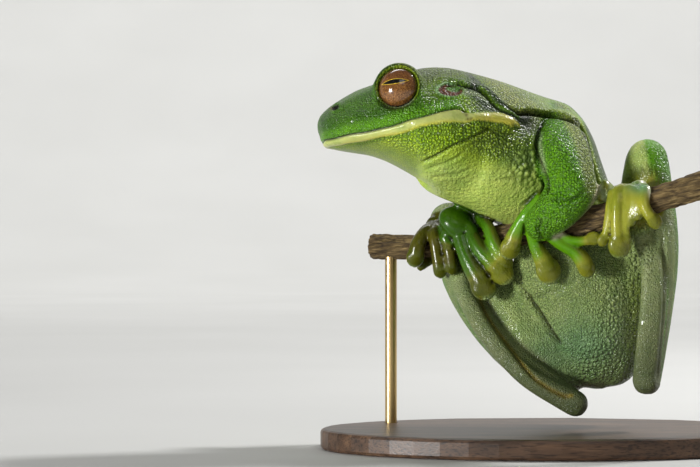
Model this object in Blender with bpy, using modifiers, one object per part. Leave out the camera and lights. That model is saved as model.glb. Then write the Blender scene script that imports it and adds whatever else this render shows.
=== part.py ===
"""White-lipped tree frog gripping a cut length of branch, life size, on a plain display stand.

Metres, +Z up. The origin is the centre of the base's underside, and the frog is seen by someone who
looks along +Y. The frog's head points to -X, its left side is nearest the viewer, and its body hangs
behind the branch with the belly to the front. Tables of places are in millimetres.
"""

import math

import bmesh
import bpy
import numpy as np
from mathutils import Matrix, Vector

MM = 0.001
GAP = 0.3 * MM

# Driving sizes of the frog: snout to vent about 110 mm, head a third of that.
EYE_RADIUS = 5.3 * MM
LID_OPENING = 4.85 * MM
LID_THICKNESS = 0.6 * MM
EARDRUM_LENGTH = 5.6 * MM
EARDRUM_HEIGHT = 3.6 * MM
EARDRUM_THICKNESS = 1.5 * MM
NOSTRIL_RADIUS = 0.85 * MM
DISC_FLATNESS = 0.6
DISC_LENGTH = 1.12

# Driving sizes of the stand and the perch.
BRANCH_RADIUS = 3.05 * MM
BASE_LENGTH = 112 * MM
BASE_DEPTH = 70 * MM
BASE_THICKNESS = 5 * MM
BASE_EDGE = 0.9 * MM
ROD_RADIUS = 1.5 * MM
ROD_SINK = 2.5 * MM

# Sides round the body and steps between its sections, for the solids and for finding places on the skin.
BODY_SIDES, BODY_STEPS = 26, 2
FINE_SIDES, FINE_STEPS = 240, 40

# Cut edges shorter than this are closed up, and faces that turn less than this are merged.
SMALLEST_EDGE = 0.08 * MM
FLAT_ANGLE = math.radians(4)

# The viewer's side of the limbs, hands and feet.
FRONT = np.array((0.3, -1.0, 0.0))

for leftover in list(bpy.data.objects):
    bpy.data.objects.remove(leftover)
frog = bpy.data.collections.new("tree_frog_on_stand")
bpy.context.scene.collection.children.link(frog)


def material(name, colour, roughness, metallic=0.0):
    made = bpy.data.materials.new(name)
    made.use_nodes = True
    made.diffuse_color = colour
    shader = made.node_tree.nodes["Principled BSDF"]
    shader.inputs["Base Color"].default_value = colour
    shader.inputs["Roughness"].default_value = roughness
    shader.inputs["Metallic"].default_value = metallic
    return made


green_skin = material("green skin", (0.13, 0.33, 0.02, 1), 0.4)
white_lip = material("white lip", (0.50, 0.55, 0.28, 1), 0.4)
pale_skin = material("pale skin", (0.42, 0.47, 0.33, 1), 0.45)
digit_skin = material("digit skin", (0.30, 0.36, 0.08, 1), 0.35)
eardrum_skin = material("eardrum", (0.16, 0.09, 0.04, 1), 0.4)
eye_bronze = material("eye", (0.27, 0.11, 0.035, 1), 0.1)
bark = material("bark", (0.10, 0.06, 0.03, 1), 0.9)
walnut = material("walnut", (0.08, 0.045, 0.03, 1), 0.5)
brass = material("brass", (0.62, 0.47, 0.22, 1), 0.3, 1.0)


def vec(*values):
    """A point given in millimetres, in metres."""
    return np.array(values, float) * MM


def unit(vectors):
    return vectors / np.linalg.norm(vectors, axis=-1, keepdims=True)


def curve_through(stations, steps):
    """Points on the smooth curve (Catmull-Rom) through rows of numbers, with so many steps between rows."""
    rows = np.array(stations, float)
    padded = np.vstack((2 * rows[0] - rows[1], rows, 2 * rows[-1] - rows[-2]))
    t = np.linspace(0, 1, steps, endpoint=False)[:, None]
    spans = []
    for before, start, end, after in zip(padded, padded[1:], padded[2:], padded[3:]):
        straight = start * 2 + (end - before) * t
        square = (2 * before - 5 * start + 4 * end - after) * t**2
        cube = (3 * start - before - 3 * end + after) * t**3
        spans.append((straight + square + cube) / 2)
    return np.vstack((*spans, rows[-1:]))


def new_object(name, mesh, paint):
    mesh.materials.clear()
    mesh.materials.append(paint)
    obj = bpy.data.objects.new(name, mesh)
    frog.objects.link(obj)
    return obj


def taken_mesh(transform):
    """The mesh of the primitive that was just added, transformed, with the primitive itself removed."""
    shape = bpy.context.object
    mesh = shape.data.copy()
    bpy.data.objects.remove(shape)
    mesh.transform(transform)
    if transform.determinant() < 0:
        mesh.flip_normals()
    mesh.shade_smooth()
    return mesh


def evaluated_mesh(obj):
    graph = bpy.context.evaluated_depsgraph_get()
    return bpy.data.meshes.new_from_object(obj.evaluated_get(graph))


def tidy_mesh(mesh, weld=0.0):
    """Welds points nearer than weld, turns faces outwards and cuts them into triangles."""
    form = bmesh.new()
    form.from_mesh(mesh)
    if weld:
        bmesh.ops.remove_doubles(form, verts=form.verts, dist=weld)
        bmesh.ops.recalc_face_normals(form, faces=form.faces)
    bmesh.ops.triangulate(form, faces=form.faces)
    form.to_mesh(mesh)
    form.free()
    mesh.shade_smooth()


def ball(name, centre, radii, paint, axes=None, segments=14, rings=8):
    """A ball or ellipsoid: radii along three axes, which are the rows of axes, or X, Y and Z."""
    bpy.ops.mesh.primitive_uv_sphere_add(segments=segments, ring_count=rings)
    turn = Matrix(np.array(axes if axes is not None else np.eye(3)).T.tolist()).to_4x4()
    place = Matrix.Translation(Vector(centre)) @ turn @ Matrix.Diagonal((*radii, 1))
    return new_object(name, taken_mesh(place), paint)


def rim(name, centre, axis, radius, thickness, paint, sides=18):
    """A torus round an axis, such as an eyelid's edge."""
    bpy.ops.mesh.primitive_torus_add(
        major_segments=sides, minor_segments=6, major_radius=radius, minor_radius=thickness
    )
    facing = Vector(axis).to_track_quat("Z", "Y").to_matrix().to_4x4()
    return new_object(name, taken_mesh(Matrix.Translation(Vector(centre)) @ facing), paint)


def tube(name, stations, paint, steps=2, resolution=2):
    """A curve with a round bevel along rows of x, y, z and radius in millimetres, made a welded mesh."""
    smooth = curve_through(stations, steps) * MM
    curve = bpy.data.curves.new(name, "CURVE")
    curve.dimensions = "3D"
    curve.bevel_depth = 1.0
    curve.bevel_resolution = resolution
    curve.use_fill_caps = True
    line = curve.splines.new("POLY")
    line.points.add(len(smooth) - 1)
    for point, (x, y, z, radius) in zip(line.points, smooth):
        point.co = (x, y, z, 1)
        point.radius = radius
    holder = bpy.data.objects.new(name, curve)
    frog.objects.link(holder)
    mesh = evaluated_mesh(holder)
    bpy.data.objects.remove(holder)
    tidy_mesh(mesh, weld=0.01 * MM)
    return new_object(name, mesh, paint)


def squeezed(form, stations, share):
    """Flattens a limb from front to back, towards its middle line."""
    path = curve_through(stations, 8)[:, :3] * MM
    through = unit(FRONT)
    for vertex in form.data.vertices:
        away = np.array(vertex.co) - path
        depth = away[np.argmin((away**2).sum(axis=1))] @ through
        vertex.co = np.array(vertex.co) - (1 - share) * depth * through
    return form


def limb(name, stations, paint, share):
    """A tube of flesh along rows of x, y, z and radius in millimetres, rounded off at both ends and
    flattened to a share of its depth."""
    rows = curve_through(stations, 3)
    start = unit(rows[0, :3] - rows[1, :3])
    end = unit(rows[-1, :3] - rows[-2, :3])
    before, after = [], []
    for angle in np.radians((25, 50, 75)):
        out, narrowing = math.sin(angle), math.cos(angle)
        before.insert(0, (*(rows[0, :3] + start * rows[0, 3] * out), rows[0, 3] * narrowing))
        after.append((*(rows[-1, :3] + end * rows[-1, 3] * out), rows[-1, 3] * narrowing))
    return squeezed(tube(name, (*before, *rows, *after), paint, steps=1, resolution=3), stations, share)


def loft(name, rings, first_pole, last_pole, paint):
    """A closed skin over rings of points, an array of shape (rings, sides, 3), with a pole at each end."""
    count, sides = rings.shape[:2]
    points = [*rings.reshape(-1, 3).tolist(), list(first_pole), list(last_pole)]
    start, end = count * sides, count * sides + 1
    last = (count - 1) * sides
    faces = []
    for side in range(sides):
        beside = (side + 1) % sides
        faces.append((start, beside, side))
        faces.append((end, last + side, last + beside))
        for low in range(0, last, sides):
            high = low + sides
            faces.append((low + side, low + beside, high + beside, high + side))
    mesh = bpy.data.meshes.new(name)
    mesh.from_pydata(points, [], faces)
    tidy_mesh(mesh, weld=0.001 * MM)
    return new_object(name, mesh, paint)


def prism(name, outline, origin, right, up, depth, paint):
    """A flat outline in millimetres on the axes right and up, thickened to both sides."""
    through = np.cross(right, up) * depth
    flat = [origin + (x * right + y * up) * MM for x, y in outline]
    mesh = bpy.data.meshes.new(name)
    form = bmesh.new()
    face = form.faces.new([form.verts.new(point - through) for point in flat])
    swept = bmesh.ops.extrude_face_region(form, geom=[face])["geom"]
    moved = [item for item in swept if isinstance(item, bmesh.types.BMVert)]
    bmesh.ops.translate(form, verts=moved, vec=2 * through)
    bmesh.ops.recalc_face_normals(form, faces=form.faces)
    form.to_mesh(mesh)
    form.free()
    tidy_mesh(mesh)
    return new_object(name, mesh, paint)


def shells_of(form):
    """The faces of each separate closed surface."""
    unseen = set(form.faces)
    shells = []
    while unseen:
        shell, queue = set(), [unseen.pop()]
        while queue:
            face = queue.pop()
            shell.add(face)
            beside = {other for edge in face.edges for other in edge.link_faces} & unseen
            unseen -= beside
            queue.extend(beside)
        shells.append(shell)
    return shells


def extent(shell):
    """The volume of the box round a set of faces."""
    corners = np.array([vert.co for face in shell for vert in face.verts])
    return float(np.prod(np.ptp(corners, axis=0)))


def keep_largest(mesh):
    """Leaves only the largest closed surface, and so drops scraps and sealed hollows."""
    form = bmesh.new()
    form.from_mesh(mesh)
    shells = sorted(shells_of(form), key=extent)
    for shell in shells[:-1]:
        bmesh.ops.delete(form, geom=list(shell), context="FACES")
    form.to_mesh(mesh)
    form.free()


def is_closed(form):
    return all(edge.is_manifold for edge in form.edges) and all(vert.is_manifold for vert in form.verts)


def simplify(mesh):
    """Merges tiny faces and faces nearly in one plane, by as much as leaves the surface closed."""
    for share in (1, 0.5, 0.25, 0.1, 0.05, 0.02):
        form = bmesh.new()
        form.from_mesh(mesh)
        bmesh.ops.remove_doubles(form, verts=form.verts, dist=SMALLEST_EDGE * share)
        bmesh.ops.dissolve_degenerate(form, edges=form.edges, dist=SMALLEST_EDGE * share / 4)
        bmesh.ops.dissolve_limit(form, angle_limit=FLAT_ANGLE, verts=form.verts, edges=form.edges)
        bmesh.ops.triangulate(form, faces=form.faces)
        closed = is_closed(form)
        if closed:
            form.to_mesh(mesh)
        form.free()
        if closed:
            mesh.shade_smooth()
            return


def in_fixed_order(mesh):
    """The same mesh with its points sorted by place and its faces by their points.

    A Boolean can return its faces in another order on each run, and the later steps depend on the order.
    """
    places = np.array([vert.co for vert in mesh.vertices])
    order = np.lexsort(places.T)
    rank = np.argsort(order).tolist()
    faces = []
    for face in mesh.polygons:
        corners = [rank[corner] for corner in face.vertices]
        first = corners.index(min(corners))
        faces.append(corners[first:] + corners[:first])
    ordered = bpy.data.meshes.new(mesh.name)
    ordered.from_pydata(places[order], [], sorted(faces))
    bpy.data.meshes.remove(mesh)
    return ordered


def combine(obj, others, operation):
    """Applies one Boolean of obj with a collection of closed meshes, which are then removed."""
    group = bpy.data.collections.new("operands")
    for other in others:
        frog.objects.unlink(other)
        group.objects.link(other)
    bpy.context.scene.collection.children.link(group)
    step = obj.modifiers.new("join", "BOOLEAN")
    step.operation = operation
    step.operand_type = "COLLECTION"
    step.collection = group
    step.solver = "MANIFOLD"
    mesh = in_fixed_order(evaluated_mesh(obj))
    obj.modifiers.clear()
    paint = obj.data.materials[0]
    mesh.materials.clear()
    mesh.materials.append(paint)
    tidy_mesh(mesh)
    keep_largest(mesh)
    obj.data = mesh
    for other in others:
        bpy.data.objects.remove(other)
    bpy.data.collections.remove(group)
    return obj


def swollen(obj, margin=GAP):
    """A copy of obj grown by a margin along its normals, to cut its neighbours clear of it."""
    copy = new_object("cutter", obj.data.copy(), obj.data.materials[0])
    grow = copy.modifiers.new("grow", "DISPLACE")
    grow.strength = margin
    grow.mid_level = 0
    copy.data = evaluated_mesh(copy)
    copy.modifiers.clear()
    return copy


def bounds(obj):
    corners = np.array([v.co for v in obj.data.vertices])
    return corners.min(0), corners.max(0)


def carve(obj, neighbours):
    """Cuts obj clear of each neighbour that it could touch."""
    low, high = bounds(obj)
    for other in neighbours:
        other_low, other_high = bounds(other)
        if (low > other_high + 2 * GAP).any() or (high < other_low - 2 * GAP).any():
            continue
        combine(obj, [swollen(other)], "DIFFERENCE")
    simplify(obj.data)
    return obj


# The head's own frame starts at the front of the mouth. It points back, out of the left side, and up.
# The snout is turned a little to the viewer and dips, and the head leans so that its left side is higher.
HEAD_YAW = math.radians(4)
HEAD_PITCH = math.radians(12.4)
HEAD_ROLL = math.radians(4)
MOUTH_FRONT = vec(-56.3, -2.6, 74.4)
HEAD_BACK = np.array(
    (
        math.cos(HEAD_YAW) * math.cos(HEAD_PITCH),
        math.sin(HEAD_YAW) * math.cos(HEAD_PITCH),
        math.sin(HEAD_PITCH),
    )
)
LEVEL_LEFT = np.array((math.sin(HEAD_YAW), -math.cos(HEAD_YAW), 0))
LEVEL_UP = np.cross(LEVEL_LEFT, HEAD_BACK)
HEAD_LEFT = math.cos(HEAD_ROLL) * LEVEL_LEFT + math.sin(HEAD_ROLL) * LEVEL_UP
HEAD_UP = np.cross(HEAD_LEFT, HEAD_BACK)


def in_head(back, left, up):
    """A point of the head, in millimetres back from the mouth's front, to the left, and up."""
    return MOUTH_FRONT + (back * HEAD_BACK + left * HEAD_LEFT + up * HEAD_UP) * MM


def across_head(direction):
    """A direction, or an offset, mirrored to the head's other side."""
    return direction - 2 * (direction @ HEAD_LEFT) * HEAD_LEFT


# Head sections: how far back, crown height, throat's place back and depth, half breadth, roundness.
HEAD_SECTIONS = (
    (0.4, 4.3, 0.9, 0.7, 3.2, 2.0),
    (1.3, 6.1, 1.4, -1.2, 6.4, 1.8),
    (3.4, 7.7, 3.8, -2.5, 9.0, 1.7),
    (6.7, 9.1, 7.2, -3.9, 11.4, 1.7),
    (11.5, 10.6, 11.5, -5.5, 13.8, 1.7),
    (17.0, 11.3, 16.5, -8.7, 15.9, 1.75),
    (22.5, 12.0, 21.5, -13.3, 17.2, 1.8),
    (28.5, 12.5, 26.0, -17.6, 18.0, 1.95),
)
# Trunk sections: the edge along the back and then the left flank, the edge along the throat and then
# the right flank, and half the depth from the front to the rear.
TRUNK_SECTIONS = (
    ((-24.3, 2.0, 92.6), (-21.9, 2.0, 59.8), 18.2),
    ((-15.9, 4.0, 90.9), (-15.3, 5.0, 56.4), 18.0),
    ((-8.1, 6.0, 88.6), (-10.4, 9.0, 53.8), 17.2),
    ((-0.6, 8.0, 86.2), (-8.0, 12.0, 49.8), 16.2),
    ((5.6, 8.0, 84.0), (-7.6, 14.0, 45.4), 15.2),
    ((9.4, 7.0, 78.4), (-7.7, 15.5, 40.9), 14.2),
    ((12.3, 5.5, 70.4), (-8.2, 16.5, 36.3), 13.2),
    ((15.4, 4.5, 62.0), (-8.1, 17.5, 31.3), 12.6),
    ((21.3, 4.0, 44.9), (-4.8, 17.2, 24.8), 12.0),
    ((22.2, 4.5, 30.8), (1.3, 15.5, 18.9), 10.6),
    ((19.8, 6.5, 19.6), (7.6, 13.5, 15.0), 7.4),
)
TRUNK_ROUNDNESS = 2.1
SNOUT_END = in_head(0.05, 0, 3.0)
VENT_END = vec(13.6, 9.5, 13.6)


def body_rings(sides, steps):
    """Rings of the whole body from snout to vent. Each is a rounded box with its own roundness."""
    rows = []
    for back, crown, under_back, under, breadth, roundness in HEAD_SECTIONS:
        rows.append((*in_head(back, 0, crown), *in_head(under_back, 0, under), breadth * MM, roundness))
    for upper, lower, depth in TRUNK_SECTIONS:
        rows.append((*vec(*upper), *vec(*lower), depth * MM, TRUNK_ROUNDNESS))
    smooth = curve_through(rows, steps)
    upper, lower, breadth, roundness = np.split(smooth, (3, 6, 7), axis=1)
    middle = (upper + lower) / 2
    rise = (upper - lower) / 2
    front = unit(np.cross(np.gradient(middle, axis=0), rise)) * breadth
    turn = np.linspace(0, 2 * math.pi, sides, endpoint=False)
    bend = 2 / np.where(np.cos(turn) > 0, roundness, 2.0)
    lift = np.sign(np.cos(turn)) * np.abs(np.cos(turn)) ** bend
    out = np.sign(np.sin(turn)) * np.abs(np.sin(turn)) ** bend
    return middle[:, None] + lift[..., None] * rise[:, None] + out[..., None] * front[:, None]


FINE_RINGS = body_rings(FINE_SIDES, FINE_STEPS)


def skin_place(x, z, on_left=True):
    """The skin's point and outward normal where a viewer in front sees x and z, in millimetres.

    The place on the right side is the one nearest to where it would be, mirrored across the head.
    """
    rings = FINE_RINGS[1:-1]
    near_side = rings[:, 1 : FINE_SIDES // 2]
    away = (near_side[..., 0] - x * MM) ** 2 + (near_side[..., 2] - z * MM) ** 2
    row, side = np.unravel_index(np.argmin(away), away.shape)
    if not on_left:
        goal = MOUTH_FRONT + across_head(near_side[row, side] - MOUTH_FRONT)
        far_side = rings[:, FINE_SIDES // 2 : -1]
        away = ((far_side - goal) ** 2).sum(axis=-1)
        row, side = np.unravel_index(np.argmin(away), away.shape)
        side += FINE_SIDES // 2 - 1
    row, side = row + 1, side + 1
    along = FINE_RINGS[row + 1, side] - FINE_RINGS[row - 1, side]
    around = FINE_RINGS[row, (side + 1) % FINE_SIDES] - FINE_RINGS[row, side - 1]
    return FINE_RINGS[row, side], unit(np.cross(around, along))


def fold(name, places, radii, sink, paint, on_left):
    """A rounded fold of skin through places (x, z) on the body's surface, sunk in by part of its radius."""
    rows = []
    for (x, z), radius in zip(places, radii):
        point, normal = skin_place(x, z, on_left)
        rows.append((*(point / MM - normal * radius * sink), radius))
    return tube(name, rows, paint, resolution=1)


# Outlines of the body's pieces, in millimetres back and up in the head's frame.
MOUTH_LINE = (
    (-5, -0.3),
    (1, -0.3),
    (4.3, -0.7),
    (8.8, -0.8),
    (17.8, -1.0),
    (22.5, -0.7),
    (27.2, -0.1),
    (31.5, -0.3),
    (33.8, -1.0),
    (36, -2.0),
)
NECK_LINE = ((36, -2.0), (41, 13), (44, 25))
THROAT_LINE = ((36, -2.4), (31.4, -30), (30.4, -44))
WAIST_LINE = ((20, -52), (40.2, -36), (66.3, -20.4), (95, -1.5))


def moved(line, back, up):
    return [(x + back, y + up) for x, y in line]


def whole_body(name, paint):
    return loft(name, body_rings(BODY_SIDES, BODY_STEPS), SNOUT_END, VENT_END, paint)


def keep_inside(body, outline):
    """Leaves the piece of the body that lies inside an outline."""
    cell = prism("cell", outline, MOUTH_FRONT, HEAD_BACK, HEAD_UP, 60 * MM, body.data.materials[0])
    return combine(body, [cell], "INTERSECT")


EYE_CENTRE = (21.0, 11.0, 7.45)
EYE_AXIS = unit(0.95 * HEAD_LEFT - 0.24 * HEAD_BACK + 0.19 * HEAD_UP)
BROW_RADII = vec(6.1, 6.0, 6.5)
# The hollow in front of each eye is part of a ball, so far out along the eye's axis.
HOLLOW_OUT, HOLLOW_RADIUS = 11.05 * MM, 9.5 * MM
NOSTRIL = (-52.2, 83.0)
EARDRUM = (-25.0, 86.7)
FOLD_PLACES = ((-28.4, 90.2), (-24.4, 88.9), (-20.2, 87.9), (-16.4, 86.6), (-14.2, 84.2), (-11.6, 82.0))
FOLD_RADII = (0.7, 1.0, 1.1, 1.1, 1.1, 0.8)
CAPE_PLACES = ((-9.0, 83.6), (-6.6, 83.3), (-1.4, 82.6), (3.6, 81.7), (7.4, 79.8), (9.8, 75.0))
CAPE_RADII = (0.8, 1.1, 1.4, 1.5, 1.4, 0.9)
BULGE_PLACES = ((-21.0, 80.4), (-17.8, 80.4), (-13.1, 79.9), (-9.8, 79.1))
BULGE_RADII = (1.5, 1.7, 1.7, 1.3)
LIP_PLACES = (
    (-22.3, 80.3),
    (-26.0, 80.2),
    (-31.0, 79.3),
    (-36.5, 77.7),
    (-41.0, 76.8),
    (-45.5, 75.8),
    (-50.5, 74.4),
)
LIP_RADII = (1.6, 1.6, 1.3, 1.05, 0.95, 0.85, 0.8)


def eye_place(on_left):
    """An eyeball's centre and the direction in which it looks."""
    back, left, up = EYE_CENTRE
    if on_left:
        return in_head(back, left, up), EYE_AXIS
    return in_head(back, -left, up), across_head(EYE_AXIS)


def eyeball(name, on_left, margin=0.0):
    centre, _ = eye_place(on_left)
    return ball(name, centre, (EYE_RADIUS + margin,) * 3, eye_bronze, segments=20, rings=12)


def eardrum(name, on_left, margin=0.0):
    """The flat oval disc of an eardrum, lying in the side of the head."""
    point, normal = skin_place(*EARDRUM, on_left)
    up = unit(HEAD_UP - (HEAD_UP @ normal) * normal)
    radii = np.array((EARDRUM_LENGTH, EARDRUM_THICKNESS, EARDRUM_HEIGHT)) / 2 + margin
    return ball(name, point, radii, eardrum_skin, (np.cross(normal, up), normal, up), 12, 6)


def make_head(outline):
    """The upper head: brows over the eyes, lids, nostrils and the folds over the eardrums."""
    brows, hollows, raised, pits = [], [], [], []
    for on_left in (True, False):
        centre, axis = eye_place(on_left)
        brows.append(ball("brow", centre, BROW_RADII, green_skin, (HEAD_BACK, HEAD_LEFT, HEAD_UP), 16, 10))
        hollow = centre + axis * HOLLOW_OUT
        hollows.append(ball("hollow", hollow, (HOLLOW_RADIUS,) * 3, green_skin, None, 20, 12))
        edge = centre + axis * math.sqrt(EYE_RADIUS**2 - LID_OPENING**2)
        raised.append(rim("lid", edge, axis, LID_OPENING + LID_THICKNESS, LID_THICKNESS, green_skin))
        raised.append(fold("fold", FOLD_PLACES, FOLD_RADII, 0.35, green_skin, on_left))
        point, normal = skin_place(*NOSTRIL, on_left)
        raised.append(rim("nostril", point, normal, NOSTRIL_RADIUS, NOSTRIL_RADIUS / 2, green_skin, 10))
        pits.append(ball("pit", point, (NOSTRIL_RADIUS * 0.6,) * 3, green_skin, None, 8, 6))
        pits.append(eyeball("socket", on_left, GAP))
        pits.append(eardrum("pocket", on_left, GAP))
    head = whole_body("head", green_skin)
    combine(head, brows, "UNION")
    combine(head, hollows, "DIFFERENCE")
    combine(head, raised, "UNION")
    simplify(head.data)
    keep_inside(head, outline)
    combine(head, pits, "DIFFERENCE")
    return head


def make_lower_jaw(outline):
    """The lower jaw with the throat's pouch and the rolled white lip."""
    rows = []
    for (x, z), radius in zip(LIP_PLACES, LIP_RADII):
        point, normal = skin_place(x, z)
        rows.append((*(point / MM - normal * radius * 0.5), radius))
    origin = MOUTH_FRONT / MM
    far = [(*(origin + across_head(np.array(row[:3]) - origin)), row[3]) for row in rows[::-1]]
    chin = (*(in_head(1.9, 0, -0.9) / MM), LIP_RADII[-1])
    lip = tube("lip", (*rows, chin, *far), white_lip)
    jaw = combine(whole_body("lower_jaw", white_lip), [lip], "UNION")
    return keep_inside(jaw, outline)


def make_chest(outline):
    """Neck and shoulders: the fold over each arm and the swelling behind each corner of the mouth."""
    extras = []
    for on_left in (True, False):
        extras.append(fold("fold", FOLD_PLACES, FOLD_RADII, 0.35, green_skin, on_left))
        extras.append(fold("cape", CAPE_PLACES, CAPE_RADII, 0.4, green_skin, on_left))
        extras.append(fold("bulge", BULGE_PLACES, BULGE_RADII, 0.3, green_skin, on_left))
    chest = combine(whole_body("chest", green_skin), extras, "UNION")
    return keep_inside(chest, outline)


def make_body():
    """Head, lower jaw, chest and belly, parted by thin gaps at the mouth, the neck and the waist."""
    slit = GAP / MM
    head = [*MOUTH_LINE, *NECK_LINE[1:], (-5, 25)]
    jaw = [*moved(MOUTH_LINE, 0, -slit), *THROAT_LINE[1:], (-5, -44)]
    throat_edge = moved(THROAT_LINE, slit, 0)
    neck_edge = moved(NECK_LINE, slit, 0)
    chest = [*throat_edge[::-1], *neck_edge, (95, 25), *WAIST_LINE[:0:-1], (30.9, -44.1)]
    belly = [*moved(WAIST_LINE, 0, -slit), (95, -110), (20, -110)]
    return [
        make_head(head),
        make_lower_jaw(jaw),
        make_chest(chest),
        keep_inside(whole_body("belly", pale_skin), belly),
    ]


# Limbs: rows of x, y, z and radius, in millimetres, from the body outwards.
LIMBS = (
    (
        "thigh_left",
        ((15.6, 9.5, 22.0, 7.6), (20.8, 6.0, 42.0, 6.8), (22.8, -1.5, 67.0, 5.2)),
        pale_skin,
    ),
    (
        "thigh_right",
        ((3.6, 10.0, 19.2, 7.2), (-5.2, 10.0, 28.8, 6.8), (-21.0, 20.5, 54.0, 5.4)),
        pale_skin,
    ),
    (
        "shank_left",
        (
            (23.4, -2.5, 70.4, 5.2),
            (26.4, -6.5, 50.0, 4.2),
            (25.2, -7.6, 33.0, 3.6),
            (22.9, -7.8, 17.4, 3.2),
        ),
        pale_skin,
    ),
    (
        "shank_right",
        (
            (-23.8, 19.5, 55.4, 5.1),
            (-21.0, 12.5, 39.0, 3.9),
            (-11.0, 5.0, 24.0, 3.5),
            (5.4, 0.2, 11.4, 3.3),
        ),
        pale_skin,
    ),
    (
        "tarsus_left",
        (
            (22.2, -10.0, 17.2, 3.5),
            (22.9, -12.0, 27.0, 3.4),
            (23.8, -12.0, 37.0, 3.3),
            (23.6, -10.6, 46.0, 3.1),
            (21.6, -8.4, 51.0, 2.6),
        ),
        pale_skin,
    ),
    (
        "tarsus_right",
        (
            (6.0, -2.2, 11.0, 3.2),
            (-6.6, -1.0, 18.3, 2.5),
            (-16.2, 3.6, 29.4, 2.4),
            (-20.8, 8.6, 38.5, 2.5),
        ),
        pale_skin,
    ),
    (
        "upper_arm_left",
        ((0.6, 4.5, 78.0, 6.0), (2.4, -5.5, 73.4, 6.6), (3.4, -9.3, 68.6, 6.6), (4.2, -11.8, 64.2, 6.1)),
        green_skin,
    ),
    (
        "upper_arm_right",
        ((-8.8, 20.0, 73.0, 5.8), (-12.0, 25.0, 66.0, 5.8), (-14.4, 26.5, 61.0, 5.2)),
        green_skin,
    ),
    (
        "forearm_left",
        ((4.6, -11.6, 63.0, 6.0), (0.8, -10.6, 58.2, 5.4), (-2.6, -8.0, 54.8, 4.2)),
        green_skin,
    ),
    (
        "forearm_right",
        ((-14.8, 26.0, 60.0, 5.0), (-16.6, 18.0, 58.6, 4.8), (-18.4, 11.0, 57.0, 4.2)),
        green_skin,
    ),
)

# The lengths of limb that are flattened, with the share of their depth that is left.
LIMB_FLATNESS = {"tarsus_left": 0.62, "tarsus_right": 0.8}

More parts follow.
